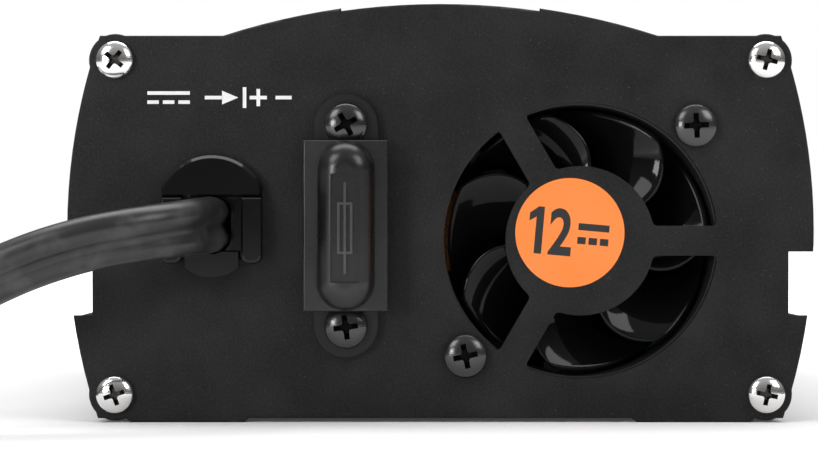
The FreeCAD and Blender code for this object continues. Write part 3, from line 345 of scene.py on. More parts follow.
def jacket_group(name):
    """Extruded cord jacket: faint lines along the cord and soft handling marks."""
    t, given, out = new_group(name, {
        "Colour": (0.05, 0.05, 0.05, 1), "Scuff": (0.16, 0.16, 0.16, 1), "Scuff Share": 0.25,
        "Roughness": 0.4})
    place = t.place()
    along = t.take("UVMap", uv_map="Along")
    stretched = t.take("VectorMath", {0: along, 1: (4.0, 60.0, 1.0)}, operation="MULTIPLY")
    lines, fine = t.noise(stretched, 1.0), t.noise(place, 2600.0)
    cloud = t.noise(place, 170.0, 4.0, 0.6)
    scuff = t.times(t.ramp(cloud, 0.48, 0.72), given["Scuff Share"])
    return give_out(t, given, out, t.mix(scuff, given["Colour"], given["Scuff"]),
                    t.ramp(cloud, 0.3, 0.7, -0.05, 0.07),
                    t.maths("ADD", t.times(lines, 0.7), t.times(fine, 0.5)))


def board_group(name):
    """Circuit board: solder mask over copper tracks, with bare pads."""
    t, given, out = new_group(name, {
        "Colour": (0.01, 0.1, 0.04, 1), "Track": (0.03, 0.2, 0.07, 1), "Pad": (0.6, 0.6, 0.58, 1),
        "Roughness": 0.3, "Pitch": 260.0})
    place = t.place()
    cells = t.take("TexVoronoi", {
        "Vector": place, "Scale": given["Pitch"], "Randomness": 0.7}, "Distance", feature="F1",
        distance="MANHATTAN")
    edges = t.take("TexVoronoi", {
        "Vector": place, "Scale": t.times(given["Pitch"], 0.6), "Randomness": 0.85}, "Distance",
        feature="DISTANCE_TO_EDGE")
    tracks, pads = t.ramp(edges, 0.10, 0.14), t.ramp(cells, 0.20, 0.14)
    toned = t.mix(tracks, given["Colour"], given["Track"])
    return give_out(t, given, out, t.mix(pads, toned, given["Pad"]), t.times(pads, 0.1), tracks)


EFFECTS = {"Moulded skin": moulded_group, "Powder coat": powder_group, "Drawn lines": drawn_group,
           "Cord jacket": jacket_group, "Board tracks": board_group}


# ---- finishes
def finish(name, effect, values, depth=0.00002, specular=0.5, **sockets):
    """A material whose colour, roughness and relief come from one effect group."""
    material = bpy.data.materials.new(name)
    t = fresh_tree(material)
    group = t.add("Group", node_tree=bpy.data.node_groups.get(effect) or EFFECTS[effect](effect))
    for key, value in values.items():
        socket = group.inputs[key]
        socket.default_value = (*value, 1.0) if socket.type == "RGBA" else value
    made = group.outputs
    bump = t.take("Bump", {"Strength": 1.0, "Distance": depth, "Height": made["Height"]})
    shader = t.take("BsdfPrincipled", {
        "Base Color": made["Colour"], "Roughness": made["Roughness"], "Normal": bump,
        "Specular IOR Level": specular, **{key.replace("_", " "): value for key, value in sockets.items()}})
    t.add("OutputMaterial", {"Surface": shader})
    return material


def plastic(name, tone, rough, grain=0.0004, dust=0.02, spread=0.05, depth=0.00001, **sockets):
    return finish(name, "Moulded skin", {
        "Colour": tone, "Roughness": rough, "Dust Share": dust, "Spread": spread,
        "Grain Scale": 1.0 / grain}, depth, **sockets)


def metal(name, tone, rough, stretch=(1.0, 1.0, 1.0), spread=0.08, dull=0.15, depth=0.000004):
    return finish(name, "Drawn lines", {
        "Colour": tone, "Dull": tuple(0.6 * c for c in tone), "Dull Share": dull, "Roughness": rough,
        "Spread": spread, "Stretch": stretch}, depth, Metallic=1.0)


def dress(material, *names):
    """Gives CAD nodes a material through their objects' slots."""
    for name in names:
        piece = NODES[name]
        if not piece.material_slots:
            piece.data.materials.append(material)
        for slot in piece.material_slots:
            slot.material = material


# ---- mesh helpers
SQUARE = ((-1, -1), (1, -1), (1, 1), (-1, 1))
MERGE = 1e-7


def new_object(name, data):
    item = bpy.data.objects.new(name, data)
    bpy.context.scene.collection.objects.link(item)
    return item


def make_piece(name, mesh, material, body, smooth=True):
    """Links a finished mesh at the origin, dresses it and lets it ride on a body."""
    piece = new_object(name, mesh)
    mesh.materials.clear()
    mesh.materials.append(material)
    mesh.polygons.foreach_set("use_smooth", [smooth] * len(mesh.polygons))
    mesh.update()
    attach(piece, body)
    return piece


def to_mesh(name, work):
    """A new mesh from a bmesh, which is freed."""
    mesh = bpy.data.meshes.new(name)
    work.to_mesh(mesh)
    work.free()
    return mesh


def closed_mesh(name, build):
    """A mesh from a bmesh function, with doubles merged and its faces pointing out."""
    work = bmesh.new()
    build(work)
    bmesh.ops.remove_doubles(work, verts=work.verts, dist=MERGE)
    bmesh.ops.recalc_face_normals(work, faces=work.faces)
    return to_mesh(name, work)


def evaluated_mesh(holder, *others):
    """A holder's shape as a plain mesh; the holder and its helpers are removed."""
    bpy.context.view_layer.update()
    mesh = bpy.data.meshes.new_from_object(holder.evaluated_get(bpy.context.evaluated_depsgraph_get()))
    for item in (holder, *others):
        bpy.data.objects.remove(item)
    return mesh


def loft(work, a, b):
    """Quads between two rings with the same number of points."""
    for k in range(len(a)):
        n = (k + 1) % len(a)
        work.faces.new([a[k], b[k], b[n], a[n]])


def plate_prism(work, outline, near, far):
    """A flat shape of (x, z) points that reaches from near to far along Y."""
    low, high = ([work.verts.new((x, y, z)) for x, z in outline] for y in (near, far))
    work.faces.new(low)
    work.faces.new(high[::-1])
    loft(work, low, high)


def bar(x, z, wide, tall):
    """A rectangle's corners about its middle."""
    return [(x + a * wide / 2, z + b * tall / 2) for a, b in SQUARE]


def grown_mesh(name, tree, values):
    """Runs a Geometry Nodes tree once and returns its result as a plain mesh."""
    holder = new_object(name + "-seed", bpy.data.meshes.new(name + "-seed"))
    modifier = holder.modifiers.new("Grow", "NODES")
    modifier.node_group = tree
    for item in tree.interface.items_tree:
        if item.name in values:
            modifier[item.identifier] = values[item.name]
    mesh = evaluated_mesh(holder)
    if not mesh.polygons:
        raise RuntimeError(name + " came out empty")
    return mesh


def turned(work, profile, steps, place):
    """Turns a closed profile of (radius, height) points into a solid; place puts a point."""
    rings = []
    for radius, height in profile:
        turns = [2 * pi * k / steps for k in range(steps)] if radius else [0.0]
        rings.append([work.verts.new(place(radius, height, turn)) for turn in turns])
    for a, b in zip(rings, rings[1:]):
        for k in range(steps):
            n = (k + 1) % steps
            corners = list(dict.fromkeys([a[k % len(a)], a[n % len(a)], b[n % len(b)], b[k % len(b)]]))
            if len(corners) > 2:
                work.faces.new(corners)


def about_z(shift=0.0):
    """Puts a turned point about the Z axis."""
    return lambda radius, height, turn: Vector((radius * cos(turn + shift), radius * sin(turn + shift),
                                                height))


def copies_tree(name, inputs, scatter, turn=ORIGIN):
    """A node tree that sets one shape on points, then moves, realises and dresses the set."""
    t, given, out = new_group(name, {**inputs, "Centre": ORIGIN, "Material": "NodeSocketMaterial"},
                              {"Mesh": "NodeSocketGeometry"}, "GeometryNodeTree")
    points, shape, aim = scatter(t, given)
    copies = t.take("GeometryNodeInstanceOnPoints", {"Points": points, "Instance": shape, "Rotation": aim})
    laid = t.take("GeometryNodeTransform", {"Geometry": copies, "Translation": given["Centre"],
                                            "Rotation": turn})
    real = t.take("GeometryNodeRealizeInstances", {0: laid})
    t.fill(out, {0: t.take("GeometryNodeSetMaterial", {"Geometry": real, "Material": given["Material"]})})
    return t.tree


def blade_ring(t, given):
    """A blade set round the shaft."""
    points = t.take("GeometryNodeMeshLine", {"Count": given["Blades"], "Offset": ORIGIN}, "Mesh",
                    mode="OFFSET")
    blade = t.take("GeometryNodeObjectInfo", {"Object": given["Blade"]}, "Geometry")
    step = t.maths("DIVIDE", 2 * pi, given["Blades"])
    return points, blade, t.take("CombineXYZ", {1: t.times(t.take("GeometryNodeInputIndex"), step)})


def rib_ring(t, given):
    """Rounded ribs set round a circle."""
    circle = t.take("GeometryNodeMeshCircle", {"Vertices": given["Ribs"], "Radius": given["Radius"]}, "Mesh")
    aim = t.take("FunctionNodeAlignRotationToVector", {"Vector": t.take("GeometryNodeInputPosition")},
                 "Rotation", axis="X")
    rib = t.take("GeometryNodeMeshCylinder", {"Vertices": 10, "Radius": 0.5, "Depth": 1.0}, "Mesh",
                 fill_type="TRIANGLE_FAN")
    stretch = t.take("CombineXYZ", {0: given["Height"], 1: given["Width"], 2: given["Length"]})
    return circle, t.take("GeometryNodeTransform", {"Geometry": rib, "Scale": stretch}), aim


# ---- the cord's route
# Millimetres: right, in front of the plate, and up, from the gland to the coil.
LEAD_ROUTE = [
    (-39.6, -19.0, 34.4), (-39.6, 3.9, 34.4), (-39.6, 10.4, 34.3), (-42.6, 17.6, 33.8), (-49.2, 23.0, 32.9),
    (-58.6, 25.4, 31.3), (-69.6, 26.0, 27.7), (-80.6, 26.2, 22.2), (-92.6, 26.4, 15.8),
    (-106.1, 26.0, 10.0), (-120.6, 25.2, 6.8), (-136.1, 25.0, 5.7),
]
COIL_CENTRE = (-151.6, 31.0)           # right, and behind the plate's face
COIL_RADII = (56.0, 43.6)
COIL_HEIGHT = 5.7
# Right and back from the end of the inner turn, and up.
TAIL_ROUTE = [
    (-8.0, 0.4, 7.3), (-17.5, 3.0, 13.3), (-27.5, 7.4, 17.3), (-38.5, 13.2, 17.7), (-49.0, 20.6, 17.1),
    (-58.0, 30.8, 14.7), (-64.4, 42.6, 12.3), (-67.0, 56.0, 11.0), (-67.0, 69.0, 11.0),
]
ROUTE_STEPS = 14                       # points read from the line for each chosen point
LEAN_BEGINS, LEAN_RISE = 0.024, 0.030  # metres from the cord's inner end, and over what length
LEAN_ENDS, LEAN_FALL = 0.150, 0.045
UV_LENGTH = 0.1                        # metres of cord for one tile of its UV map


def cord_route(turns, turn_points):
    """All of the cord's chosen points, in metres in the case's frame."""
    def put(x, behind, z):
        points.append(Vector((x * MM, FRONT + behind * MM, z * MM)))

    points = []
    for x, out, z in LEAD_ROUTE:
        put(x, -out, z)
    middle_x, middle_y = COIL_CENTRE
    outer, inner = COIL_RADII
    steps = turns * turn_points
    stretch = 2.0 / (1.0 + cos(pi / turn_points))
    for i in range(steps + 1):
        radius = (outer + (inner - outer) * i / steps) * stretch
        turn = -pi / 2 - 2 * pi * i / turn_points
        put(middle_x + radius * cos(turn), middle_y + radius * sin(turn), COIL_HEIGHT)
    for x, behind, z in TAIL_ROUTE:
        put(middle_x + x, middle_y - inner + behind, z)
    return points


def smooth_line(points):
    """Points read from a NURBS spline with the route as its control points."""
    curve = bpy.data.curves.new("route", "CURVE")
    curve.dimensions = "3D"
    curve.resolution_u = ROUTE_STEPS
    spline = curve.splines.new("NURBS")
    spline.points.add(len(points) - 1)
    for control, point in zip(spline.points, points):
        control.co = (*point, 1.0)
    spline.order_u = 3
    spline.use_endpoint_u = True
    mesh = evaluated_mesh(new_object("route", curve))
    return [vertex.co.copy() for vertex in mesh.vertices]


def twin_section(width, thickness, groove, steps=40):
    """Points round the flat twin's section: (up, across)."""
    lobe = thickness / 2
    reach = width / 2 - lobe
    ring = []
    for i in range(steps):
        turn = 2 * pi * i / steps
        up = (reach + lobe) * sin(turn)
        beyond = max(abs(up) - reach, 0.0)
        half = sqrt(max(lobe ** 2 - beyond ** 2, 0.0))
        dip = groove * max(0.0, 1 - abs(up) / reach) ** 1.2
        ring.append((up, copysign(half - dip, 1.0 if cos(turn) >= 0 else -1.0)))
    return ring


def lean_along(gone, twist):
    """How far the flat cord leans at a distance from its inner end."""
    ease = max(min((gone - LEAN_BEGINS) / LEAN_RISE, (LEAN_ENDS - gone) / LEAN_FALL, 1.0), 0.0)
    return twist * ease * ease * (3 - 2 * ease)


def flat_tube(name, line, ring, twist):
    """A closed tube that follows a line, with its wide side upright and a UV map along it."""
    work = bmesh.new()
    gone = [0.0]
    for a, b in zip(line, line[1:]):
        gone.append(gone[-1] + (b - a).length)
    loops = []
    for i, point in enumerate(line):
        ahead = (line[min(i + 1, len(line) - 1)] - line[max(i - 1, 0)]).normalized()
        across = ahead.cross(Vector((0, 0, 1))).normalized()
        up = across.cross(ahead).normalized()
        lean = lean_along(gone[i], twist)
        tall = up * cos(lean) - across * sin(lean)
        deep = across * cos(lean) + up * sin(lean)
        loops.append([work.verts.new(point + tall * u + deep * a) for u, a in ring])
    total = len(ring)
    uv = work.loops.layers.uv.new("Along")
    for a, b, start, end in zip(loops, loops[1:], gone, gone[1:]):
        for k in range(total):
            n = (k + 1) % total
            face = work.faces.new([a[k], a[n], b[n], b[k]])
            for corner, (u, v) in zip(face.loops, ((start, k), (start, k + 1), (end, k + 1), (end, k))):
                corner[uv].uv = (u / UV_LENGTH, v / total)
    work.faces.new(loops[0][::-1])
    work.faces.new(loops[-1])
    bmesh.ops.recalc_face_normals(work, faces=work.faces)
    return to_mesh(name, work)


# ---- operators
SENSOR = 36.0                          # width of the camera's sensor in millimetres
LAMPS = [                              # name, place, width, height, and the setting that holds its power
    ("Key", (0.0, 0.15, 0.85), 0.9, 0.6, "key_power"),
    ("Left", (-0.44, -0.52, 0.48), 0.32, 0.32, "fill_power"),
    ("Right", (0.46, -0.50, 0.42), 0.32, 0.32, "fill_power"),
    ("Low", (-0.30, -0.46, 0.10), 0.12, 0.10, "low_power"),
]
LAMP_AIM = Vector((0, 0, 0.03))
GLOW_NEAR, GLOW_FAR = 0.14, 0.50       # between these distances the floor's shadows fade out
MIRRORED_GLOW = 0.4                    # share of the floor's glow that glossy pieces mirror


def seen_directly(t, path):
    return t.maths("MAXIMUM", path["Is Camera Ray"], path["Is Transmission Ray"])


class INVERTER_OT_stage(Operator):
    """Camera, lamps, floor and surroundings."""
    bl_idname = "inverter.stage"
    bl_label = "Stage"

    def execute(self, context):
        s = context.scene.inverter.stage
        data = bpy.data.cameras.new("Camera")
        data.sensor_width = SENSOR
        data.lens = s.lens * 1000.0
        data.clip_start = 0.01
        camera = new_object("Camera", data)
        camera.location = (s.eye_x, FRONT - s.lens / (SENSOR / 1000.0) * s.span, s.eye_z)
        camera.rotation_euler = (radians(90), 0, 0)
        context.scene.camera = camera
        context.scene.view_settings.view_transform = "Standard"
        for name, place, wide, high, level in LAMPS:
            data = bpy.data.lights.new(name, "AREA")
            data.shape = "RECTANGLE"
            data.size, data.size_y, data.energy = wide, high, getattr(s, level)
            lamp = new_object(name, data)
            lamp.location = place
            lamp.rotation_euler = (LAMP_AIM - Vector(place)).to_track_quat("-Z", "Y").to_euler()
        self.floor(s)
        self.world(context.scene, s)
        return {"FINISHED"}

    def floor(self, s):
        work = bmesh.new()
        bmesh.ops.create_grid(work, x_segments=2, y_segments=2, size=4.0)
        floor = new_object("Floor", to_mesh("Floor", work))
        material = bpy.data.materials.new("Floor")
        floor.data.materials.append(material)
        t = fresh_tree(material)
        path = t.add("LightPath").outputs
        seen = t.maths("MAXIMUM", seen_directly(t, path), t.times(path["Is Glossy Ray"], MIRRORED_GLOW))
        away = t.take("VectorMath", {0: t.place()}, "Value", operation="LENGTH")
        level = t.times(seen, t.ramp(away, GLOW_NEAR, GLOW_FAR, s.floor_glow, 1.0))
        paper = t.take("BsdfDiffuse", {"Color": (0.94, 0.94, 0.94, 1)})
        glow = t.take("Emission", {"Color": WHITE, "Strength": level})
        t.add("OutputMaterial", {"Surface": t.take("AddShader", {0: paper, 1: glow})})

    def world(self, scene, s):
        scene.world = bpy.data.worlds.new("Studio")
        t = fresh_tree(scene.world)
        seen = seen_directly(t, t.add("LightPath").outputs)
        aim = t.take("SeparateXYZ", {0: t.take("TexCoord", output="Generated")}, "Z")
        plain, white = (t.take("Background", {"Color": WHITE, "Strength": level}) for level in (
            t.ramp(aim, 0.0, 0.9, s.horizon_level, s.zenith_level), 1.0))
        mixed = t.take("MixShader", {0: seen, 1: plain, 2: white})
        t.add("OutputWorld", {"Surface": mixed})


class INVERTER_OT_cord(Operator):
    """The flat twin cord from the gland through its coil to the plug, and the coil's tie."""
    bl_idname = "inverter.cord"
    bl_label = "Cord"

    def execute(self, context):
        s = context.scene.inverter.cord
        line = smooth_line(cord_route(s.turns, s.turn_points))
        mesh = flat_tube("dc_cord", line, twin_section(s.width, s.thickness, s.groove), s.twist)
        jacket = finish("Cord jacket", "Cord jacket", {"Colour": s.jacket, "Roughness": 0.33}, 0.000006)
        cord = make_piece("dc_cord", mesh, jacket, "case")
        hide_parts("dc_cord_inner_end", "dc_cord_lead", "dc_cord_coil", "dc_cord_tail")
        self.tie(s)
        return {"FINISHED"}

    def tie(self, s):
        """A strap round both turns at the back of the coil, with its head outside."""
        outer, inner = COIL_RADII
        step = (outer - inner) / s.turns
        slack, thick, round_by = 0.0001, 0.0006, 0.0022
        half = s.thickness / 2 + slack
        near = (COIL_CENTRE[1] + inner + step / 2) * MM - half
        far = (COIL_CENTRE[1] + outer - step / 2) * MM + half
        x, z = COIL_CENTRE[0] * MM, COIL_HEIGHT * MM
        low, high = z - s.width / 2 + round_by, z + s.width / 2 - round_by
        corners = ((far - round_by, high, 0), (near + round_by, high, 90), (near + round_by, low, 180),
                   (far - round_by, low, 270))

        def ring(work, side, grow):
            reach = round_by + grow
            turns = [(cy, cz, radians(start + 22.5 * k)) for cy, cz, start in corners for k in range(5)]
            return [work.verts.new((x + side * s.strap / 2, FRONT + cy + reach * cos(turn),
                                    cz + reach * sin(turn))) for cy, cz, turn in turns]

        def build(work):
            inner_a, outer_a, inner_b, outer_b = (ring(work, side, grow) for side in (-1, 1)
                                                  for grow in (0.0, thick))
            for a, b in ((outer_a, outer_b), (inner_b, inner_a), (inner_a, outer_a), (outer_b, inner_b)):
                loft(work, a, b)
            head = bmesh.ops.create_cube(work, size=1.0)["verts"]
            bmesh.ops.scale(work, verts=head, vec=(0.0066, 0.0046, 0.0050))
            bmesh.ops.translate(work, verts=head, vec=(x, FRONT + far + thick + 0.0021, z))
            edges = list({e for v in head for e in v.link_edges})
            bmesh.ops.bevel(work, geom=edges, offset=0.0007, segments=3, profile=0.5, affect="EDGES")

        black = plastic("Tie nylon", (0.02, 0.02, 0.021), 0.38)
        piece = make_piece("cord_tie", closed_mesh("cord_tie", build), black, "case",
                           smooth=False)
        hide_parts("dc_cord_tie")


class INVERTER_OT_case(Operator):
    """Powder coated plates, the anodised case and all of the screws."""
    bl_idname = "inverter.case"
    bl_label = "Case"

    def execute(self, context):
        s = context.scene.inverter.case
        coat = finish("Powder coat", "Powder coat", {
            "Colour": s.plate, "Roughness": 0.50, "Speck Share": 0.55, "Grain Scale": 1.0 / s.coat_grain},
            0.00012, specular=0.20)
        dress(coat, "dc_end_plate", "ac_end_plate")
        anodised = finish("Black anodising", "Drawn lines", {
            "Colour": s.tube, "Dull": (0.05, 0.05, 0.052), "Dull Share": 0.25, "Roughness": 0.40,
            "Spread": 0.12, "Stretch": (1.0, 0.012, 1.0), "Line Scale": 2600.0}, 0.00001)
        dress(anodised, "body_tube")
        nickel = metal("Bright nickel", s.nickel, 0.15, spread=0.05, dull=0.10)
        dress(nickel, "panel_nuts", "usb_shell", "plug_tip_contact")
        oxide = finish("Black oxide", "Moulded skin", {
            "Colour": s.oxide, "Roughness": 0.20, "Spread": 0.05, "Dust Share": 0.03,
            "Grain Scale": 1800.0}, 0.000008, specular=0.8)
        # Each set of screws gets its coat and a darker second material for the faces of its cross recess:
        # painted shade where the recess lies in shadow.
        bright = (nickel, metal("Recess steel", (0.075, 0.068, 0.068), 0.42))
        black = (oxide, plastic("Recess black", (0.0015, 0.0015, 0.0015), 0.5, specular=0.1))
        spots = [(x * 0.0566, z) for x in (-1, 1) for z in (0.0049, 0.0630)]
        corners = [(x, out, y, z, turn) for out, y in ((-1, FRONT), (1, BACK))
                   for (x, z), turn in zip(spots, (18, 52, -12, 75))]
        self.screws("corner_screws", "end_plate_screws", corners, (0.00325, 0.0021), 0.00143, 0.0110, bright,
                    "bright_steel")
        fan = [(FAN_CENTRE.x + side * 0.020, -1, FRONT, FAN_CENTRE.z + side * 0.020, turn)
               for side, turn in ((1, 3), (-1, 12))]
        self.screws("fan_fixings", "fan_screws", fan, (0.0038, 0.0024), 0.0020, 0.0208, black, "black_steel")
        fuse = [(-0.0164, -1, FRONT - 0.0018, 0.0342 + side * 0.0175, turn) for side, turn in ((-1, 8), (1, 28))]
        self.screws("fuse_fixings", "fuse_holder_screws", fuse, (0.00375, 0.0024), 0.0015, 0.0084, black,
                    "black_steel")
        return {"FINISHED"}

    def screws(self, name, node, places, head, shank, length, finishes, slot):
        """Pan head cross screws that stand for a node; places are (x, out, y, z, turn) at the seats."""
        unit = self.screw(head, shank, length)
        work = bmesh.new()
        for x, out, y, z, turn in places:
            piece = unit.copy()
            way = Matrix.Rotation(radians(-90 * out), 4, "X")
            piece.transform(Matrix.Translation((x, y, z)) @ way @ Matrix.Rotation(radians(turn), 4, "Z"))
            work.from_mesh(piece)
            bpy.data.meshes.remove(piece)
        mesh = to_mesh(name, work)
        # Faces left by the recess cutters keep slot 1, the darker material that paints shade into the recess.
        inside = [face.material_index for face in mesh.polygons]
        piece = make_piece(name, mesh, finishes[0], "case", smooth=False)
        mesh.materials.append(finishes[1])
        mesh.polygons.foreach_set("material_index", inside)
        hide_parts(node)

    def screw(self, head, shank, length):
        """One pan head screw about Z, with its seat at z = 0 and a deep cross recess."""
        radius, height = head
        pitch, point = 0.0008, 0.0012
        root = shank * 0.86
        rings = int((length - 0.0030) / pitch)
        profile = [(0.0, -length), (shank * 0.7, -length), (shank, -length + shank * 0.5)]
        for i in range(rings):
            at = -length + point + i * pitch
            profile += [(root, at), (shank, at + pitch * 0.5)]
        profile += [(root, -length + point + rings * pitch), (shank * 0.92, 0.0), (radius * 0.98, 0.0),
                    (radius, radius * 0.03)]
        low, steps = height * 0.40, 18
        for k in range(steps + 1):
            turn = radians(90.0 * k / steps)
            profile.append((radius * cos(turn) ** 0.9 if k < steps else 0.0,
                            low + (height - low) * sin(turn) ** 1.15))
        body = closed_mesh("screw", lambda work: turned(work, profile, 48, about_z()))
        reach, half = radius * 0.30, radius * 0.135
        above = height * 1.2
        grow = radius * 0.60 + radius * 0.30 * 0.3

        def wing(work):
            ends = [[work.verts.new((x * wide, y * deep, z)) for x, y in SQUARE]
                    for wide, deep, z in ((reach, half * 0.7, height * 0.22), (grow, half, above))]
            work.faces.new(ends[0][::-1])
            work.faces.new(ends[1])
            loft(work, *ends)

        core = [(0.0, height * 0.20), (radius * 0.17, height * 0.26), (radius * 0.27, above), (0.0, above)]
        cutters = [closed_mesh("wing", wing) for _ in range(2)]
        cutters[1].transform(Matrix.Rotation(radians(90), 4, "Z"))
        cutters.append(closed_mesh("core", lambda work: turned(work, core, 8, about_z(0.3927))))
        for shape in [body] + cutters:
            shape.materials.append(None)
            shape.materials.append(None)
        screw = new_object("screw", body)
        holders = []
        for shape in cutters:
            # The cutters' faces take slot 1, so the recess they leave gets the painted shade material.
            shape.polygons.foreach_set("material_index", [1] * len(shape.polygons))
            holders.append(new_object("cutter", shape))
            cut = screw.modifiers.new("Recess", "BOOLEAN")
            cut.operation, cut.solver, cut.object = "DIFFERENCE", "EXACT", holders[-1]
        return evaluated_mesh(screw, *holders)


class INVERTER_OT_fan(Operator):
    """Fan frame, rotor with its curved blades, motor and the orange hub label."""
    bl_idname = "inverter.fan"
    bl_label = "Fan"

    def execute(self, context):
        s = context.scene.inverter.fan
        dress(plastic("Fan frame plastic", (0.010, 0.010, 0.011), 0.45), "fan_frame", "fan_driver_board")
        gloss = plastic("Fan rotor plastic", s.plastic, 0.07, dust=0.0, spread=0.02, depth=0.000001,
                        specular=0.20)
        piece = make_piece("rotor_blades", self.rotor(s, gloss), gloss, "fan_rotor")
        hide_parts("fan_impeller")
        dress(plastic("Bonded magnet", (0.06, 0.055, 0.055), 0.5), "fan_magnet_ring")
        dress(metal("Plain steel", (0.50, 0.50, 0.50), 0.3), "fan_shaft", "fan_stator", "transistor_screws")
        dress(metal("Brass", (0.78, 0.55, 0.22), 0.25), "fan_sleeve_bearing", "fuse_contacts",
              "outlet_contacts", "power_switch_terminals")
        label = finish("Orange label", "Moulded skin", {
            "Colour": s.label, "Dust": (0.9, 0.45, 0.25), "Dust Share": 0.10, "Roughness": 0.45,
            "Grain Scale": 5000.0}, 0.000004, specular=0.3)
        dress(label, "fan_hub_sticker")
        return {"FINISHED"}

    def rotor(self, s, gloss):
        """The hub cup, turned about the shaft, with its blades set round it."""
        wall, edge, shaft, boss, floor = 0.0012, 0.0009, 0.0015, 0.0030, 0.0007
        profile = [(0.0, 0.0), (s.hub - edge, 0.0)]
        profile += [(s.hub - edge + edge * sin(radians(a)), edge - edge * cos(radians(a)))
                    for a in (22.5, 45, 67.5, 90)]
        profile += [(s.hub, s.depth), (s.hub - wall, s.depth), (s.hub - wall, wall), (boss, wall),
                    (boss, 2 * wall), (shaft, 2 * wall), (shaft, floor), (0.0, floor)]
        blade = new_object("blade", self.blade(s))
        centre = Vector((FAN_CENTRE.x, ROTOR_FRONT, FAN_CENTRE.z))
        tree = copies_tree("Blade ring", {"Blade": "NodeSocketObject", "Blades": 7}, blade_ring)
        ring = grown_mesh("rotor_blades", tree, {
            "Blade": blade, "Blades": s.blades, "Centre": tuple(centre), "Material": gloss})
        bpy.data.objects.remove(blade)
        work = bmesh.new()
        work.from_mesh(ring)
        turned(work, profile, 96, lambda r, y, turn: centre + Vector((r * cos(turn), y,
                                                                      r * sin(turn))))
        bmesh.ops.recalc_face_normals(work, faces=work.faces)
        return to_mesh("rotor_blades", work)

    def blade(self, s):
        """One wide, curved blade about the shaft, thinner towards its tip."""
        across, along = 12, 18
        span, lag, root = radians(50.0), radians(26.0), 0.0005
        work = bmesh.new()

        def point(side, u, v):
            radius = s.hub - root + (s.tip - s.hub + root) * u
            turn = lag * u * u + span * (v - 0.5) * (1.0 - 0.10 * (1 - u))
            deep = 0.0010 + (s.depth - 0.0024) * v ** 1.25
            thick = s.blade_thickness * (1.0 - 0.4 * u) * (0.35 + 1.3 * sqrt(v * (1 - v) + 0.01))
            return work.verts.new((radius * cos(turn), deep + side * thick / 2, radius * sin(turn)))

        low, high = ([[point(side, i / across, k / along) for k in range(along + 1)]
                      for i in range(across + 1)] for side in (-1, 1))
        for rows, way in ((low, 1), (high, -1)):
            for a, b in zip(rows, rows[1:]):
                for k in range(along):
                    work.faces.new([a[k], b[k], b[k + 1], a[k + 1]][::way])
        rim = ([(i, 0) for i in range(across)] + [(across, k) for k in range(along)] +
               [(i, along) for i in range(across, 0, -1)] + [(0, k) for k in range(along, 0, -1)])
        loft(work, *([rows[i][k] for i, k in rim] for rows in (low, high)))
        bmesh.ops.recalc_face_normals(work, faces=work.faces)
        return to_mesh("blade", work)


PROUD, SUNK = 0.00002, 0.00001         # how far print stands out of its face, and reaches into it


def direct_current(left, low, wide, high, weight):
    """The direct current symbol: one bar over three dashes."""
    shapes = [bar(left + wide / 2, low + high - weight / 2, wide, weight)]
    dash = wide / 3.7
    for i in range(3):
        shapes.append(bar(left + i * (wide - dash) / 2 + dash / 2, low + weight / 2, dash, weight))
    return shapes


class INVERTER_OT_marks(Operator):
    """Printed direct current and input symbols, and the label's number."""
    bl_idname = "inverter.marks"
    bl_label = "Marks"

    def execute(self, context):
        s = context.scene.inverter.marks
        weight, wide, arm = 0.00062, 0.0074, 0.0015
        middle = s.base + s.height / 2
        x = s.left + wide + 0.0026
        plus = s.right - 0.0052
        shapes = direct_current(s.left, s.base + 0.0007, wide, 0.0022, weight) + [
            bar(x + 0.00155, middle, 0.0031, weight),
            [(x + 0.0030, s.base + 0.0006), (x + 0.0058, middle), (x + 0.0030, s.base + s.height - 0.0006)],
            bar(x + 0.0066 + weight / 2, middle, weight, s.height),
            bar(plus, middle, weight, 2 * arm),
            bar(s.right - 0.0008, middle, 0.0028, weight)]
        for side in (-1, 1):
            shapes.append(bar(plus + side * (arm + weight / 2) / 2, middle, arm - weight / 2, weight))

        def build(work):
            for outline in shapes:
                plate_prism(work, outline, FRONT - 0.00003, FRONT + SUNK)

        ink = plastic("White ink", s.ink, 0.55, dust=0.0)
        make_piece("input_symbols", closed_mesh("input_symbols", build), ink, "case", smooth=False)
        self.label(plastic("Label ink", s.label_ink, 0.5, dust=0.0), context.scene.inverter.fan.label_turn)
        return {"FINISHED"}

    def label(self, ink, tilt):
        """The number and the direct current symbol on the fan's label."""
        text = bpy.data.curves.new("label_number", "FONT")
        text.body = "2"
        text.size = 0.0118
        text.offset = 0.00028
        text.extrude = SUNK
        text.resolution_u = 6
        glyph = evaluated_mesh(new_object("label_number", text))
        (left, right), (low, high) = ((min(ends), max(ends)) for ends in (
            [v.co.x for v in glyph.vertices], [v.co.y for v in glyph.vertices]))
        tall, wide = 0.0082, 0.0040
        one = [(-0.0060, -0.0041), (-0.0047, -0.0041), (-0.0047, 0.0041), (-0.0057, 0.0041), (-0.0072, 0.0029),
               (-0.0072, 0.0015), (-0.0060, 0.0023)]
        middle = (STICKER_LOW + STICKER_HIGH) / 2

        def build(work):
            work.from_mesh(glyph)
            for v in work.verts:
                v.co = (((v.co.x - left) / (right - left) - 1.0) * wide + 0.0004,
                        -PROUD if v.co.z > 0 else SUNK, ((v.co.y - low) / (high - low) - 0.5) * tall)
            for outline in [one] + direct_current(0.0014, -0.0018, 0.0054, 0.0036, 0.0012):
                plate_prism(work, outline, -PROUD, SUNK)
            place = Matrix.Translation((middle.x, STICKER_LOW.y, middle.z)) @ Matrix.Rotation(-tilt, 4, "Y")
            bmesh.ops.transform(work, matrix=place, verts=work.verts)

        make_piece("label_print", closed_mesh("label_print", build), ink, "case", smooth=False)


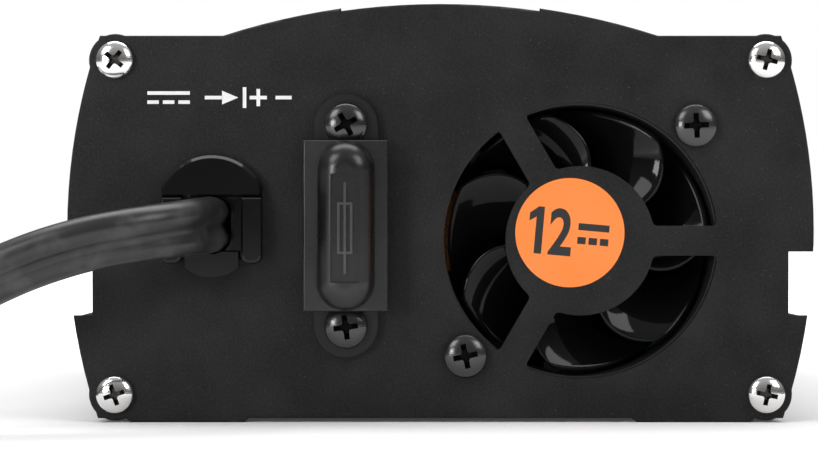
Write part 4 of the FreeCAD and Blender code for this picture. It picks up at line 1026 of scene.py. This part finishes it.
class INVERTER_OT_fuse(Operator):
    """Fuse holder, its cap with a raised fuse symbol, the blade fuse and the cable gland."""
    bl_idname = "inverter.fuse"
    bl_label = "Fuse and gland"

    def execute(self, context):
        s = context.scene.inverter.fuse
        dress(plastic("Cap plastic", s.cap, 0.29, grain=0.0007, dust=0.04, spread=0.10, specular=0.52),
              "fuse_cap")
        dress(plastic("Holder plastic", s.holder, 0.36, dust=0.03, specular=0.32), "fuse_holder")
        dress(plastic("Gland nylon", s.nylon, 0.10, dust=0.0, spread=0.03, depth=0.0000015,
                      specular=0.32), "cable_gland_body", "cable_gland_wedge")
        dress(plastic("Clear orange", s.fuse, 0.15, dust=0.0, Coat_Weight=0.5), "blade_fuse_body")
        dress(metal("Zinc", (0.62, 0.62, 0.62), 0.32), "blade_fuse_blades")
        x, z = (CAP_LOW.x + CAP_HIGH.x) / 2, (CAP_LOW.z + CAP_HIGH.z) / 2 - 0.0004
        weight, tall, wide = 0.00042, 0.0088, 0.0026
        shapes = [bar(x, z, weight, 0.0156)]
        for side in (-1, 1):
            shapes.append(bar(x + side * (wide - weight) / 2, z, weight, tall))
            for end in (-1, 1):
                shapes.append(bar(x + side * (wide - weight) / 4, z + end * (tall - weight) / 2,
                                  wide / 2 - 1.5 * weight, weight))

        def build(work):
            face = CAP_LOW.y + 0.00075
            for outline in shapes:
                plate_prism(work, outline, face - 0.00048, face + 0.0001)

        # The symbol's plastic is far paler than the cap: a painted highlight where the raised lines catch the
        # light, with a film of dust on top.
        raised = plastic("Raised symbol", (0.045, 0.045, 0.046), 0.30, grain=0.0006, dust=0.15)
        make_piece("fuse_symbol", closed_mesh("fuse_symbol", build), raised, "fuse_cover",
                   smooth=False)
        return {"FINISHED"}


class INVERTER_OT_mains(Operator):
    """Mains sockets, rocker switch, USB port and status lamps."""
    bl_idname = "inverter.mains"
    bl_label = "Mains end"

    def execute(self, context):
        s = context.scene.inverter.mains
        dress(plastic("Socket plastic", s.socket, 0.24, specular=0.6), "outlet_outer", "outlet_inner")
        dress(plastic("Switch plastic", (0.014, 0.014, 0.015), 0.35), "power_switch_housing")
        dress(plastic("Rocker plastic", s.rocker, 0.22, Coat_Weight=0.3), "power_switch_rocker")
        dress(plastic("White tongue", (0.74, 0.74, 0.70), 0.4, dust=0.0), "usb_tongue")
        for name, tone, node in (("Green lens", s.lamp_on, "status_led_green"),
                                 ("Red lens", s.lamp_fault, "status_led_red")):
            dress(plastic(name, tone, 0.10, dust=0.0, Coat_Weight=0.6, Transmission_Weight=0.35), node)
        return {"FINISHED"}


class INVERTER_OT_plug(Operator):
    """Accessory plug with its ribbed nose ring."""
    bl_idname = "inverter.plug"
    bl_label = "Plug"

    def execute(self, context):
        s = context.scene.inverter.plug
        shell = plastic("Plug plastic", s.shell, 0.33, dust=0.04, spread=0.08)
        dress(shell, "plug_body", "plug_nose_ring")
        steel = metal("Spring steel", (0.66, 0.66, 0.64), 0.24, stretch=(1.0, 0.05, 1.0))
        dress(steel, "plug_fixed_contacts")
        self.tip_spring(steel)
        dress(plastic("Fuse glass", (0.75, 0.80, 0.80), 0.08, dust=0.0, Transmission_Weight=0.7),
              "plug_cartridge_fuse")
        dress(plastic("Boot rubber", (0.026, 0.026, 0.027), 0.5, dust=0.08), "plug_boot")
        middle = (RING_LOW + RING_HIGH) / 2
        tree = copies_tree("Rib ring", {"Radius": 0.009, "Length": 0.005, "Width": 0.001, "Height": 0.0006,
                                        "Ribs": 28}, rib_ring, (radians(90), 0, 0))
        mesh = grown_mesh("nose_ring_ribs", tree, {
            "Centre": (middle.x, RING_LOW.y + 0.0038, middle.z), "Radius": 0.00895, "Length": 0.0046,
            "Width": s.rib_width, "Height": 0.0010, "Ribs": s.ribs, "Material": shell})
        make_piece("nose_ring_ribs", mesh, shell, "case")
        return {"FINISHED"}

    def tip_spring(self, steel):
        """The spring behind the tip, copied into a piece of its own."""
        work = bmesh.new()
        work.from_mesh(NODES["plug_spring"].data)
        bmesh.ops.remove_doubles(work, verts=work.verts, dist=1e-6)
        spring = make_piece("tip_spring", to_mesh("tip_spring", work), steel, "case")
        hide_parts("plug_spring")
        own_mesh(spring)


class INVERTER_OT_circuit(Operator):
    """The circuit board and everything on it."""
    bl_idname = "inverter.circuit"
    bl_label = "Circuit"

    def execute(self, context):
        s = context.scene.inverter.circuit
        board = finish("Circuit board", "Board tracks", {
            "Colour": s.mask, "Track": tuple(min(1.0, 1.7 * c) for c in s.mask)}, 0.00003)
        dress(board, "circuit_board", "control_board", "usb_board", "led_board")
        copper = metal("Enamelled copper", s.copper, 0.28, stretch=(1.0, 0.2, 1.0))
        dress(copper, "transformer_winding", "output_choke")
        dress(plastic("Ferrite", (0.05, 0.05, 0.052), 0.6, dust=0.1), "transformer_core")
        dress(plastic("Bobbin", (0.08, 0.055, 0.02), 0.5), "transformer_feet")
        dress(plastic("Capacitor sleeve", (0.012, 0.02, 0.07), 0.3), "input_capacitors", "bulk_capacitor")
        dress(metal("Bare aluminium", (0.70, 0.70, 0.71), 0.36, stretch=(1.0, 0.02, 1.0)), "heat_bars")
        dress(plastic("Chip epoxy", (0.02, 0.02, 0.02), 0.5), "power_transistors", "alarm_buzzer")
        dress(plastic("Red insulation", (0.50, 0.015, 0.01), 0.4), "positive_lead")
        dress(plastic("Black insulation", (0.02, 0.02, 0.02), 0.4), "negative_lead")
        return {"FINISHED"}


OPERATORS = [INVERTER_OT_stage, INVERTER_OT_cord, INVERTER_OT_case, INVERTER_OT_fan, INVERTER_OT_marks,
             INVERTER_OT_fuse, INVERTER_OT_mains, INVERTER_OT_plug, INVERTER_OT_circuit]


class INVERTER_PT_panel(Panel):
    """Lists the inverter's pieces and settings."""
    bl_idname = "INVERTER_PT_panel"
    bl_label = "Power inverter"
    bl_space_type = "VIEW_3D"
    bl_region_type = "UI"
    bl_category = "Inverter"

    def draw(self, context):
        for operator in OPERATORS:
            self.layout.operator(operator.bl_idname)
        settings = context.scene.inverter
        for name, group in GROUPS.items():
            box = self.layout.box()
            box.label(text=name.capitalize())
            for field in group.__annotations__:
                box.prop(getattr(settings, name), field)


CLASSES = [*GROUPS.values(), InverterSettings, *OPERATORS, INVERTER_PT_panel]


def register():
    for item in CLASSES:
        bpy.utils.register_class(item)
    bpy.types.Scene.inverter = PointerProperty(type=InverterSettings)


def unregister():
    del bpy.types.Scene.inverter
    for item in reversed(CLASSES):
        bpy.utils.unregister_class(item)


def main():
    register()
    for operator in OPERATORS:
        name = operator.bl_idname.split(".")[1]
        getattr(bpy.ops.inverter, name)()
    bpy.context.view_layer.update()


if __name__ == "__main__":
    main()
